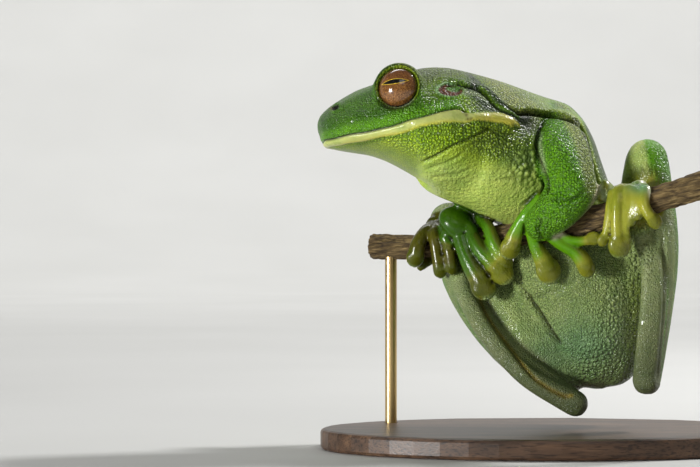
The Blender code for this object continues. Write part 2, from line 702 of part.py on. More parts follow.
# Hands and feet: the palm or sole as centre, half sizes along, through and across it, and the way it
# points; then each digit as rows of x, y, z and radius, and the radius of its disc.
EXTREMITIES = (
    (
        "foot_left",
        ((20.4, -9.4, 60.4), (6.0, 2.2, 3.6), (-0.1, -0.6, 0.8)),
        (
            (((15.6, -9.0, 63.0, 1.2), (14.1, -10.0, 62.0, 1.4), (12.7, -10.3, 62.3, 1.4)), 2.1),
            (
                (
                    (16.2, -12.4, 63.1, 1.1),
                    (13.7, -13.6, 61.2, 1.1),
                    (13.0, -13.6, 57.2, 1.1),
                    (12.5, -13.0, 53.1, 1.1),
                    (11.9, -12.8, 51.4, 1.1),
                ),
                1.6,
            ),
            (
                (
                    (18.7, -11.5, 62.9, 1.4),
                    (15.7, -13.8, 62.9, 1.4),
                    (14.8, -15.3, 59.3, 1.5),
                    (14.7, -15.3, 53.6, 1.5),
                    (15.2, -14.8, 50.5, 2.0),
                ),
                2.9,
            ),
            (
                (
                    (19.0, -12.6, 63.1, 1.2),
                    (17.5, -15.0, 63.1, 1.1),
                    (17.0, -15.9, 59.3, 1.0),
                    (16.6, -16.0, 55.5, 0.8),
                    (17.1, -15.8, 51.7, 0.8),
                ),
                1.1,
            ),
            (
                (
                    (19.7, -13.0, 63.1, 1.1),
                    (18.7, -15.5, 62.7, 1.0),
                    (18.2, -16.4, 59.0, 0.9),
                    (18.1, -16.4, 55.7, 0.9),
                ),
                1.1,
            ),
            (
                (
                    (20.6, -13.4, 62.9, 1.1),
                    (19.8, -16.2, 62.2, 0.9),
                    (19.2, -17.0, 59.3, 0.9),
                    (19.5, -17.2, 56.9, 0.9),
                ),
                1.0,
            ),
            (
                (
                    (20.5, -12.6, 63.1, 1.4),
                    (21.4, -16.2, 62.8, 1.3),
                    (20.8, -18.2, 59.7, 1.3),
                    (21.7, -18.6, 57.3, 1.4),
                    (22.9, -18.4, 55.9, 1.5),
                ),
                1.9,
            ),
        ),
    ),
    (
        "foot_right",
        ((-26.0, 16.4, 51.4), (6.0, 2.2, 3.6), (-0.4, 0.0, 0.9)),
        (
            (
                (
                    (-25.5, 15.6, 53.9, 1.5),
                    (-25.7, 12.0, 54.0, 1.4),
                    (-25.0, 8.6, 51.9, 1.4),
                    (-24.3, 7.5, 48.4, 1.5),
                    (-23.7, 7.6, 44.5, 1.6),
                ),
                1.7,
            ),
            (
                (
                    (-26.5, 15.6, 54.6, 1.5),
                    (-27.6, 12.4, 53.9, 1.3),
                    (-27.9, 9.6, 51.4, 1.4),
                    (-27.3, 8.9, 47.9, 1.5),
                    (-26.6, 8.9, 44.0, 1.7),
                ),
                1.9,
            ),
            (
                (
                    (-27.5, 16.0, 54.4, 1.5),
                    (-29.9, 12.6, 53.1, 1.6),
                    (-31.8, 10.5, 50.1, 1.9),
                    (-32.4, 10.5, 47.4, 2.1),
                ),
                2.4,
            ),
            (((-27.2, 17.0, 50.9, 1.5), (-29.9, 19.4, 48.3, 1.3), (-32.2, 18.0, 47.1, 1.3)), 1.8),
            (((-26.0, 16.6, 48.1, 1.5), (-28.5, 15.0, 46.1, 1.3), (-30.8, 13.4, 44.5, 1.1)), 1.2),
        ),
    ),
    (
        "hand_left",
        ((-2.2, -6.8, 54.6), (3.9, 3.0, 3.9), (-0.5, 0.1, -0.86)),
        (
            (
                (
                    (-2.7, -6.4, 60.6, 1.6),
                    (-6.0, -5.8, 57.5, 1.4),
                    (-7.9, -4.4, 54.3, 1.6),
                    (-9.0, -3.2, 51.7, 2.0),
                    (-9.6, -2.7, 49.7, 2.2),
                ),
                2.7,
            ),
            (
                (
                    (-3.9, -6.2, 58.2, 1.9),
                    (-4.8, -5.2, 54.1, 1.7),
                    (-4.0, -4.3, 50.2, 1.7),
                    (-2.4, -3.9, 47.0, 2.2),
                    (-1.1, -3.6, 44.4, 2.5),
                ),
                3.2,
            ),
            (
                (
                    (-1.5, -6.8, 53.3, 1.9),
                    (1.9, -6.6, 50.2, 1.6),
                    (5.4, -6.4, 48.2, 1.8),
                    (7.2, -6.4, 46.3, 2.1),
                    (8.0, -6.4, 44.7, 2.1),
                ),
                2.2,
            ),
            (
                (
                    (0.9, -6.4, 52.4, 1.3),
                    (4.2, -7.4, 51.1, 1.1),
                    (7.3, -8.0, 50.7, 1.2),
                    (9.3, -8.6, 51.2, 1.2),
                ),
                1.8,
            ),
        ),
    ),
    (
        "hand_right",
        ((-21.6, 8.0, 54.8), (4.8, 3.4, 5.9), (-0.1, -0.7, -0.6)),
        (
            (
                (
                    (-16.7, 6.8, 56.6, 1.5),
                    (-14.8, 3.2, 53.8, 1.6),
                    (-13.6, 1.4, 50.2, 1.8),
                    (-12.1, 1.1, 47.5, 2.0),
                    (-11.3, 1.3, 46.1, 2.0),
                ),
                2.2,
            ),
            (
                (
                    (-19.7, 6.0, 53.9, 1.9),
                    (-17.2, 3.3, 48.9, 2.0),
                    (-14.5, 2.2, 45.8, 2.3),
                    (-12.2, 1.8, 43.4, 2.4),
                ),
                2.9,
            ),
            (
                (
                    (-21.9, 6.2, 52.9, 2.1),
                    (-20.8, 4.8, 48.7, 2.0),
                    (-19.3, 3.9, 45.3, 2.3),
                    (-17.6, 3.2, 42.3, 2.6),
                    (-16.6, 2.9, 40.4, 2.7),
                ),
                3.3,
            ),
            (((-24.1, 8.4, 54.4, 1.7), (-25.1, 7.4, 51.6, 1.5), (-24.5, 7.2, 49.9, 1.5)), 1.6),
        ),
    ),
)


def disc(tip, along, radius):
    """The round, flattened pad at a digit's tip."""
    across = unit(np.cross(along, FRONT))
    radii = vec(radius, radius * DISC_FLATNESS, radius * DISC_LENGTH)
    axes = (across, np.cross(across, along), along)
    return ball("disc", vec(*tip) + along * radius * 0.3 * MM, radii, digit_skin, axes, 10, 6)


def extremity(name, palm, digits):
    """A hand or foot: a flattened palm and its digits, each ending in a sticky disc, as one solid."""
    centre, half, direction = palm
    along = unit(np.array(direction))
    across = unit(np.cross(along, FRONT))
    base = ball(name, vec(*centre), vec(*half), digit_skin, (along, np.cross(across, along), across), 12, 7)
    pieces = []
    for rows, radius in digits:
        pieces.append(tube("digit", rows, digit_skin, resolution=1))
        tip, before = np.array(rows[-1][:3]), np.array(rows[-2][:3])
        pieces.append(disc(tip, unit(tip - before), radius))
    return combine(base, pieces, "UNION")


# The perch: rows of x, y, z along the branch, which rises to the viewer's right and comes nearer.
BRANCH_LINE = (
    (-43.3, 20.0, 49.3),
    (-28.8, 14.5, 49.1),
    (-16.6, 8.5, 50.5),
    (-2.4, 0.0, 53.1),
    (10.7, -8.0, 56.2),
    (23.8, -15.0, 60.5),
    (33.3, -20.0, 63.6),
    (40.3, -23.2, 65.8),
)
BRANCH_KNOTS = (1.0, 0.95, 1.06, 0.98, 1.03, 0.96, 1.05, 1.0)
ROD_PLACES = ((-38.5, 18.3, 49.4), (36.0, -21.3, 64.6))


def make_perch():
    """The cut length of branch, a little thicker at its knots, with sawn ends."""
    rows = [(*place, BRANCH_RADIUS / MM * knot) for place, knot in zip(BRANCH_LINE, BRANCH_KNOTS)]
    return tube("perch", rows, bark, steps=2, resolution=4)


def make_base():
    """The stand's flat oval base, its edges eased by a bevel."""
    bpy.ops.mesh.primitive_cylinder_add(vertices=48, radius=1, depth=BASE_THICKNESS)
    size = Matrix.Diagonal((BASE_LENGTH / 2, BASE_DEPTH / 2, 1, 1))
    place = Matrix.Translation((0, 0, BASE_THICKNESS / 2)) @ size
    base = new_object("stand_base", taken_mesh(place), walnut)
    bevel = base.modifiers.new("edge", "BEVEL")
    bevel.width = BASE_EDGE
    bevel.segments = 2
    bevel.limit_method = "ANGLE"
    base.data = evaluated_mesh(base)
    base.modifiers.clear()
    return base


def make_rod(name, x, y, top):
    """An upright rod set in the base, with its tip sunk into the underside of the branch."""
    foot = BASE_THICKNESS - ROD_SINK
    height = top * MM - foot
    bpy.ops.mesh.primitive_cylinder_add(vertices=18, radius=ROD_RADIUS, depth=height)
    return new_object(name, taken_mesh(Matrix.Translation((x * MM, y * MM, foot + height / 2))), brass)


def sharpen(obj, degrees):
    """Shades flat the edges that turn by more than an angle."""
    obj.data.set_sharp_from_angle(angle=math.radians(degrees))


rods = [make_rod(f"stand_rod_{side}", *place) for side, place in zip(("left", "right"), ROD_PLACES)]
base = carve(make_base(), rods)
perch = carve(make_perch(), rods)
for piece in (*rods, base, perch):
    sharpen(piece, 40)

eyeball("eye_left", True)
eyeball("eye_right", False)
eardrum("eardrum_left", True)
eardrum("eardrum_right", False)

placed = [perch]
for piece in make_body():
    placed.append(carve(piece, [perch]))
for name, stations, paint in LIMBS:
    placed.append(carve(limb(name, stations, paint, LIMB_FLATNESS.get(name, 1.0)), placed))
for name, palm, digits in EXTREMITIES:
    placed.append(carve(extremity(name, palm, digits), placed))
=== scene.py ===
"""White-lipped tree frog gripping a cut length of branch on a display stand: its finished looks.

Everything is in metres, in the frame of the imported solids: +Z up, and the viewer looks along +Y.
Tables of places and sizes are in millimetres.
"""

import math

import bmesh
import bpy
import numpy as np
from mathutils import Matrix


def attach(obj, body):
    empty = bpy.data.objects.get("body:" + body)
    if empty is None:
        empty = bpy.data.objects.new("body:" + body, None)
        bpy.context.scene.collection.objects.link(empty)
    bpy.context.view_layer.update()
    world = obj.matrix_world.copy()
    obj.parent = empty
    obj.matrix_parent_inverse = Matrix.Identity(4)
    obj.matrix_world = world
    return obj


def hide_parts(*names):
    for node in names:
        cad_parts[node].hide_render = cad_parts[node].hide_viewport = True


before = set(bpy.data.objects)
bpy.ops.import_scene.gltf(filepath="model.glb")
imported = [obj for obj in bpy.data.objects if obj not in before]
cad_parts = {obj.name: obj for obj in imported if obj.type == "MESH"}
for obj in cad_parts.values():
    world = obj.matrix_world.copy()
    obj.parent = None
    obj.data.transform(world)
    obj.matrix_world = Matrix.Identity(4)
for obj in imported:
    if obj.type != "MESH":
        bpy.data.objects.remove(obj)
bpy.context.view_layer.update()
MM = 0.001


# The base is an oval of dark walnut, planed flat, with its edge eased and the wood oiled. The two brass
# rods are drawn stock, pushed into holes in it.


def fresh_material(name, roughness, metallic=0.0):
    """A new Principled material, with its node tree and its shader."""
    made = bpy.data.materials.new(name)
    made.use_nodes = True
    shader = made.node_tree.nodes["Principled BSDF"]
    shader.inputs["Roughness"].default_value = roughness
    shader.inputs["Metallic"].default_value = metallic
    return made, made.node_tree, shader


def add_node(tree, kind, inputs, **settings):
    """A shader node whose sockets take values, or links where a value is another node's socket."""
    node = tree.nodes.new("ShaderNode" + kind)
    for name, value in settings.items():
        setattr(node, name, value)
    for name, value in inputs.items():
        if isinstance(value, bpy.types.NodeSocket):
            tree.links.new(value, node.inputs[name])
        else:
            node.inputs[name].default_value = value
    return node


def object_places(tree, scale):
    """Object coordinates, stretched by a scale along X, Y and Z."""
    places = add_node(tree, "TexCoord", {}).outputs["Object"]
    return add_node(tree, "Mapping", {"Vector": places, "Scale": scale}).outputs["Vector"]


def colour_ramp(tree, factor, stops):
    """A colour that follows a factor through stops of place and colour."""
    ramp = add_node(tree, "ValToRGB", {"Fac": factor})
    elements = ramp.color_ramp.elements
    while len(elements) < len(stops):
        elements.new(0.5)
    for element, (place, colour) in zip(elements, stops):
        element.position = place
        element.color = (*colour, 1)
    return ramp.outputs["Color"]


def mixed(tree, factor, under, over, blend="MIX"):
    """One colour laid over another by a factor, which may be a number or another node's socket."""
    node = add_node(tree, "Mix", {0: factor}, data_type="RGBA", blend_type=blend)
    for socket, value in ((node.inputs[6], under), (node.inputs[7], over)):
        if isinstance(value, bpy.types.NodeSocket):
            tree.links.new(value, socket)
        else:
            socket.default_value = (*value, 1)
    return node.outputs[2]


def paint_node(name, made):
    """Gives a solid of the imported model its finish."""
    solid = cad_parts[name]
    for slot in solid.material_slots:
        slot.material = made


walnut, tree, shader = fresh_material("oiled walnut", 0.42)
along_grain = object_places(tree, (18, 260, 260))
grain = add_node(tree, "TexNoise", {"Vector": along_grain, "Scale": 1.0, "Detail": 6.0, "Roughness": 0.62})
pores = add_node(
    tree, "TexNoise", {"Vector": object_places(tree, (160, 2600, 2600)), "Scale": 1.0, "Detail": 2.0}
)
wood = colour_ramp(
    tree, grain.outputs["Fac"],
    ((0.3, (0.030, 0.016, 0.009)), (0.52, (0.085, 0.045, 0.024)), (0.72, (0.15, 0.085, 0.045)))
)
dark_pores = colour_ramp(tree, pores.outputs["Fac"], ((0.36, (0.35, 0.33, 0.32)), (0.5, (1, 1, 1))))
tree.links.new(mixed(tree, 1.0, wood, dark_pores, "MULTIPLY"), shader.inputs["Base Color"])
relief = add_node(tree, "Bump", {"Height": pores.outputs["Fac"], "Strength": 0.25, "Distance": 0.0001})
tree.links.new(relief.outputs["Normal"], shader.inputs["Normal"])
paint_node("stand_base", walnut)

drawn_brass, tree, shader = fresh_material("drawn brass", 0.28, 1.0)
drawing = add_node(
    tree, "TexNoise", {"Vector": object_places(tree, (3000, 3000, 30)), "Scale": 1.0, "Detail": 3.0}
)
tone = colour_ramp(tree, drawing.outputs["Fac"], ((0.3, (0.52, 0.36, 0.15)), (0.7, (0.70, 0.52, 0.24))))
tree.links.new(tone, shader.inputs["Base Color"])
matt = add_node(tree, "MapRange", {"Value": drawing.outputs["Fac"], "To Min": 0.2, "To Max": 0.38})
tree.links.new(matt.outputs["Result"], shader.inputs["Roughness"])
paint_node("stand_rod_left", drawn_brass)
paint_node("stand_rod_right", drawn_brass)


# The perch is a cut length of a thin dead branch. Its bark is brown, dry and furrowed lengthwise, with
# knots, and both ends are sawn square. The rods hold it from below.


def unit(vectors):
    return vectors / np.linalg.norm(vectors, axis=-1, keepdims=True)


def curve_through(stations, steps):
    """Points on the smooth curve (Catmull-Rom) through rows of numbers, with so many steps between rows."""
    rows = np.array(stations, float)
    padded = np.vstack((2 * rows[0] - rows[1], rows, 2 * rows[-1] - rows[-2]))
    t = np.linspace(0, 1, steps, endpoint=False)[:, None]
    spans = []
    for before, start, end, after in zip(padded, padded[1:], padded[2:], padded[3:]):
        straight = start * 2 + (end - before) * t
        square = (2 * before - 5 * start + 4 * end - after) * t**2
        cube = (3 * start - before - 3 * end + after) * t**3
        spans.append((straight + square + cube) / 2)
    return np.vstack((*spans, rows[-1:]))


def carried_frames(path):
    """Two directions square to a path at each of its points, carried along it without twisting."""
    ahead = unit(np.gradient(path, axis=0))
    side = unit(np.cross(ahead[0], (0.31, -0.17, 0.93)))
    sides = []
    for direction in ahead:
        side = unit(side - (side @ direction) * direction)
        sides.append(side)
    return np.array(sides), np.cross(ahead, sides)


def closed_skin(rings, first, last):
    """Faces of a closed surface over rings of points: quads between rings, and a fan to each end's pole."""
    count, sides = rings.shape[:2]
    index = np.arange(count * sides).reshape(count, sides)
    beside = np.roll(index, -1, axis=1)
    quads = np.stack((index[:-1], beside[:-1], beside[1:], index[1:]), axis=-1).reshape(-1, 4)
    start = np.full(sides, count * sides)
    fans = np.vstack((
        np.stack((start, beside[0], index[0]), axis=-1),
        np.stack((start + 1, index[-1], beside[-1]), axis=-1),
    ))
    points = np.vstack((rings.reshape(-1, 3), first, last))
    return points, quads.tolist() + fans.tolist()


def new_piece(name, points, faces, material, slot, *replaced):
    """A smooth-shaded mesh piece that rides on the one body and takes the place of CAD nodes."""
    mesh = bpy.data.meshes.new(name)
    mesh.from_pydata(points, [], faces)
    mesh.shade_smooth()
    form = bmesh.new()
    form.from_mesh(mesh)
    if form.calc_volume(signed=True) < 0:
        bmesh.ops.reverse_faces(form, faces=form.faces)
        form.to_mesh(mesh)
    form.free()
    mesh.materials.append(material)
    piece = bpy.data.objects.new(name, mesh)
    bpy.context.scene.collection.objects.link(piece)
    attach(piece, "root")
    if replaced:
        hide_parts(*replaced)
    return piece


BRANCH_LINE = (
    (-43.3, 20.0, 49.3, 3.05),
    (-28.8, 14.5, 49.1, 2.9),
    (-16.6, 8.5, 50.5, 3.23),
    (-2.4, 0.0, 53.1, 2.99),
    (10.7, -8.0, 56.2, 3.14),
    (23.8, -15.0, 60.5, 2.93),
    (33.3, -20.0, 63.6, 3.2),
    (40.3, -23.2, 65.8, 3.05),
)
branch_path = curve_through(BRANCH_LINE, 40)
turn = np.linspace(0, 2 * math.pi, 96, endpoint=False)
distance = np.linspace(0, 1, len(branch_path))[:, None]
# Furrows: the radius swings with waves round the branch whose crests wander along it.
wander = 0.9 * np.sin(9.1 * distance + 0.4) + 0.5 * np.sin(23.7 * distance)
furrows = (
    0.055 * np.sin(11 * turn + 5 * wander)
    + 0.035 * np.sin(19 * turn - 9 * wander + 7 * distance)
    + 0.03 * np.sin(5 * turn + 31 * distance)
    + 0.02 * np.sin(37 * turn + 60 * distance + 3 * wander)
)
knots = (
    0.10 * np.exp(-(((distance - 0.71) / 0.012) ** 2)) + 0.08 * np.exp(-(((distance - 0.34) / 0.015) ** 2))
)
radius = branch_path[:, 3:] * (0.98 + furrows + knots * (0.6 + 0.4 * np.cos(turn - 2.0)))
radius[0] *= 0.94
radius[-1] *= 0.94
across, upward = carried_frames(branch_path[:, :3])
outward = np.cos(turn)[:, None] * across[:, None] + np.sin(turn)[:, None] * upward[:, None]
branch_rings = (branch_path[:, None, :3] + outward * radius[..., None]) * MM
# Each sawn end is a flat face: rings that step in to the pith, set back very slightly.
pith_start, pith_end = branch_path[0, :3] * MM, branch_path[-1, :3] * MM
start_rings = [pith_start + (branch_rings[0] - pith_start) * share for share in (0.3, 0.62, 0.9)]
end_rings = [pith_end + (branch_rings[-1] - pith_end) * share for share in (0.9, 0.62, 0.3)]
branch_rings = np.stack((*start_rings, *branch_rings, *end_rings))
points, faces = closed_skin(branch_rings, pith_start, pith_end)

bark, tree, shader = fresh_material("dry bark", 0.86)
where = add_node(tree, "TexCoord", {}).outputs["Object"]
turned = add_node(tree, "Mapping", {"Vector": where, "Rotation": (0, math.radians(11), math.radians(27.5))})
stretched = add_node(
    tree, "Mapping", {"Vector": turned.outputs["Vector"], "Scale": (160, 1100, 1100)}
).outputs["Vector"]
fibres = add_node(tree, "TexNoise", {"Vector": stretched, "Scale": 1.0, "Detail": 7.0, "Roughness": 0.7})
patches = add_node(tree, "TexNoise", {"Vector": where, "Scale": 160.0, "Detail": 4.0, "Roughness": 0.65})
cracks = add_node(tree, "TexVoronoi", {"Vector": stretched, "Scale": 0.7}, feature="DISTANCE_TO_EDGE")
brown = colour_ramp(
    tree, fibres.outputs["Fac"],
    ((0.32, (0.028, 0.018, 0.007)), (0.5, (0.13, 0.09, 0.034)), (0.66, (0.30, 0.225, 0.10)))
)
weathered = colour_ramp(tree, patches.outputs["Fac"], ((0.35, (0.62, 0.55, 0.46)), (0.62, (1.15, 1.1, 1.0))))
brown_grey = mixed(tree, 1.0, brown, weathered, "MULTIPLY")
gaps = colour_ramp(tree, cracks.outputs["Distance"], ((0.0, (0.25, 0.2, 0.17)), (0.09, (1, 1, 1))))
tree.links.new(mixed(tree, 0.8, brown_grey, gaps, "MULTIPLY"), shader.inputs["Base Color"])
height = add_node(tree, "Math", {0: fibres.outputs["Fac"], 1: cracks.outputs["Distance"]}, operation="ADD")
relief = add_node(tree, "Bump", {"Height": height.outputs["Value"], "Strength": 0.9, "Distance": 0.0006})
tree.links.new(relief.outputs["Normal"], shader.inputs["Normal"])
new_piece("branch", points, faces, bark, "bark", "perch")


# The skin is one unbroken hide over head, trunk, limbs, fingers and toes. It is moist and granular: green
# above, white on the lower lip, yellow-green to cream on the throat and pale sage underneath.

# The head's own frame starts at the front of the mouth and points back, out of the left side, and up.
HEAD_YAW = math.radians(4)
HEAD_PITCH = math.radians(12.4)
HEAD_ROLL = math.radians(4)
MOUTH_FRONT = np.array((-56.3, -2.6, 74.4))
level, dip = math.cos(HEAD_PITCH), math.sin(HEAD_PITCH)
HEAD_BACK = np.array((math.cos(HEAD_YAW) * level, math.sin(HEAD_YAW) * level, dip))
level_left = np.array((math.sin(HEAD_YAW), -math.cos(HEAD_YAW), 0))
HEAD_LEFT = math.cos(HEAD_ROLL) * level_left + math.sin(HEAD_ROLL) * np.cross(level_left, HEAD_BACK)
HEAD_UP = np.cross(HEAD_LEFT, HEAD_BACK)
HEAD_AXES = np.array((HEAD_BACK, HEAD_LEFT, HEAD_UP))


def from_head(places):
    """Places given back, left and up from the mouth's front, in the model's frame."""
    return MOUTH_FRONT + np.array(places, float) @ HEAD_AXES


# Head sections: how far back, crown height, throat's place back and depth, half breadth, roundness.
HEAD_SECTIONS = (
    (0.4, 4.3, 0.9, 0.7, 3.2, 2.0),
    (1.3, 6.1, 1.4, -1.2, 6.4, 1.8),
    (3.4, 7.7, 3.8, -2.5, 9.0, 1.7),
    (6.7, 9.1, 7.2, -3.9, 11.4, 1.7),
    (11.5, 10.6, 11.5, -5.5, 13.8, 1.7),
    (17.0, 11.3, 16.5, -8.7, 15.9, 1.75),
    (22.5, 12.0, 21.5, -13.3, 17.2, 1.8),
    (28.5, 12.5, 26.0, -17.6, 18.0, 1.95),
)
# Trunk sections: the edge along the back and then the left flank, the edge along the throat and then
# the right flank, and half the depth from the front to the rear.
TRUNK_SECTIONS = (
    ((-24.3, 2.0, 92.6), (-21.9, 2.0, 59.8), 18.2),
    ((-15.9, 4.0, 90.9), (-15.3, 5.0, 56.4), 18.0),
    ((-8.1, 6.0, 88.6), (-10.4, 9.0, 53.8), 17.2),
    ((-0.6, 8.0, 86.2), (-8.0, 12.0, 49.8), 16.2),
    ((5.6, 8.0, 84.0), (-7.6, 14.0, 45.4), 15.2),
    ((9.4, 7.0, 78.4), (-7.7, 15.5, 40.9), 14.2),
    ((12.3, 5.5, 70.4), (-8.2, 16.5, 36.3), 13.2),
    ((15.4, 4.5, 62.0), (-8.1, 17.5, 31.3), 12.6),
    ((21.3, 4.0, 44.9), (-4.8, 17.2, 24.8), 12.0),
    ((22.2, 4.5, 30.8), (1.3, 15.5, 18.9), 10.6),
    ((19.8, 6.5, 19.6), (7.6, 13.5, 15.0), 7.4),
)
TRUNK_ROUNDNESS = 2.1
BODY_SIDES = 120


def body_rings(steps):
    """Rings of the body: round each, the height swings between throat and crown with the cosine of a
    turn and the breadth with its sine, each raised to a power that squares or rounds the section."""
    rows = []
    for back, crown, under_back, under, breadth, roundness in HEAD_SECTIONS:
        rows.append((*from_head((back, 0, crown)), *from_head((under_back, 0, under)), breadth, roundness))
    for upper, lower, depth in TRUNK_SECTIONS:
        rows.append((*upper, *lower, depth, TRUNK_ROUNDNESS))
    upper, lower, breadth, roundness = np.split(curve_through(rows, steps), (3, 6, 7), axis=1)
    middle = (upper + lower) / 2
    rise = (upper - lower) / 2
    front = unit(np.cross(np.gradient(middle, axis=0), rise)) * breadth
    turn = np.linspace(0, 2 * math.pi, BODY_SIDES, endpoint=False)
    bend = 2 / np.where(np.cos(turn) > 0, roundness, 2.0)
    lift = np.sign(np.cos(turn)) * np.abs(np.cos(turn)) ** bend
    out = np.sign(np.sin(turn)) * np.abs(np.sin(turn)) ** bend
    return middle[:, None] + lift[..., None] * rise[:, None] + out[..., None] * front[:, None]


FRONT = np.array((0.3, -1.0, 0.0))


def rounded_tube(rows, steps, sides, share=1.0):
    """A closed tube along rows of x, y, z and radius, with a half ball at each end, flattened from front
    to back to a share of its depth."""
    path = curve_through(rows, steps)
    angles = np.radians((80, 60, 40, 20))
    start = unit(path[0, :3] - path[1, :3])
    end = unit(path[-1, :3] - path[-2, :3])
    before = [(*(path[0, :3] + start * path[0, 3] * math.sin(a)), path[0, 3] * math.cos(a)) for a in angles]
    after = [
        (*(path[-1, :3] + end * path[-1, 3] * math.sin(a)), path[-1, 3] * math.cos(a)) for a in angles[::-1]
    ]
    path = np.vstack((before, path, after))
    across, upward = carried_frames(path[:, :3])
    turn = np.linspace(0, 2 * math.pi, sides, endpoint=False)
    outward = np.cos(turn)[:, None] * across[:, None] + np.sin(turn)[:, None] * upward[:, None]
    outward -= (1 - share) * (outward @ unit(FRONT))[..., None] * unit(FRONT)
    rings = path[:, None, :3] + outward * path[:, 3:, None]
    return closed_skin(rings, path[0, :3], path[-1, :3])


def lump(centre, radii, axes, sides=24):
    """An ellipsoid: circles of latitude, whose radius is a sine and whose height is a cosine."""
    rise = np.linspace(0, math.pi, sides // 2 + 1)[1:-1, None]
    turn = np.linspace(0, 2 * math.pi, sides, endpoint=False)
    local = np.stack(
        (np.sin(rise) * np.cos(turn), np.sin(rise) * np.sin(turn), np.cos(rise) + 0 * turn), axis=-1
    )
    frame_of = np.array(axes) * np.array(radii)[:, None]
    rings = np.array(centre) + local @ frame_of
    return closed_skin(rings, centre + frame_of[2], centre - frame_of[2])


# Limbs: rows of x, y, z and radius, from the body outwards.
LIMBS = {
    "thigh_left": ((15.6, 9.5, 22.0, 7.6), (20.8, 6.0, 42.0, 6.8), (22.8, -1.5, 67.0, 5.2)),
    "thigh_right": ((3.6, 10.0, 19.2, 7.2), (-5.2, 10.0, 28.8, 6.8), (-21.0, 20.5, 54.0, 5.4)),
    "shank_left": (
        (23.4, -2.5, 70.4, 5.2),
        (26.4, -6.5, 50.0, 4.2),
        (25.2, -7.6, 33.0, 3.6),
        (22.9, -7.8, 17.4, 3.2),
    ),
    "shank_right": (
        (-23.8, 19.5, 55.4, 5.1),
        (-21.0, 12.5, 39.0, 3.9),
        (-11.0, 5.0, 24.0, 3.5),
        (5.4, 0.2, 11.4, 3.3),
    ),
    "tarsus_left": (
        (22.2, -10.0, 17.2, 3.5),
        (22.9, -12.0, 27.0, 3.4),
        (23.8, -12.0, 37.0, 3.3),
        (23.6, -10.6, 46.0, 3.1),
        (21.6, -8.4, 51.0, 2.6),
    ),
    "tarsus_right": (
        (6.0, -2.2, 11.0, 3.2),
        (-6.6, -1.0, 18.3, 2.5),
        (-16.2, 3.6, 29.4, 2.4),
        (-20.8, 8.6, 38.5, 2.5),
    ),
    "upper_arm_left": (
        (0.6, 4.5, 78.0, 6.0),
        (2.4, -5.5, 73.4, 6.6),
        (3.4, -9.3, 68.6, 6.6),
        (4.2, -11.8, 64.2, 6.1),
    ),
    "upper_arm_right": ((-8.8, 20.0, 73.0, 5.8), (-12.0, 25.0, 66.0, 5.8), (-14.4, 26.5, 61.0, 5.2)),
    "forearm_left": ((4.6, -11.6, 63.0, 6.0), (0.8, -10.6, 58.2, 5.4), (-2.6, -8.0, 54.8, 4.2)),
    "forearm_right": ((-14.8, 26.0, 60.0, 5.0), (-16.6, 18.0, 58.6, 4.8), (-18.4, 11.0, 57.0, 4.2)),
}
# Heels and wrists, where two lengths of a limb meet.
JOINTS = (
    ((21.4, -8.8, 51.0, 2.5), (20.4, -9.0, 56.0, 2.6)),
    ((-20.8, 9.6, 39.8, 2.5), (-24.0, 13.6, 46.0, 2.6)),
    ((22.9, -8.4, 16.8, 3.1), (22.3, -10.2, 17.0, 3.0)),
    ((5.4, 0.0, 11.4, 3.2), (6.2, -2.0, 11.2, 3.1)),
    ((22.8, -1.2, 67.6, 5.2), (23.4, -2.4, 70.4, 5.2)),
    ((-21.4, 20.4, 54.4, 5.3), (-23.6, 19.6, 55.2, 5.1)),
)

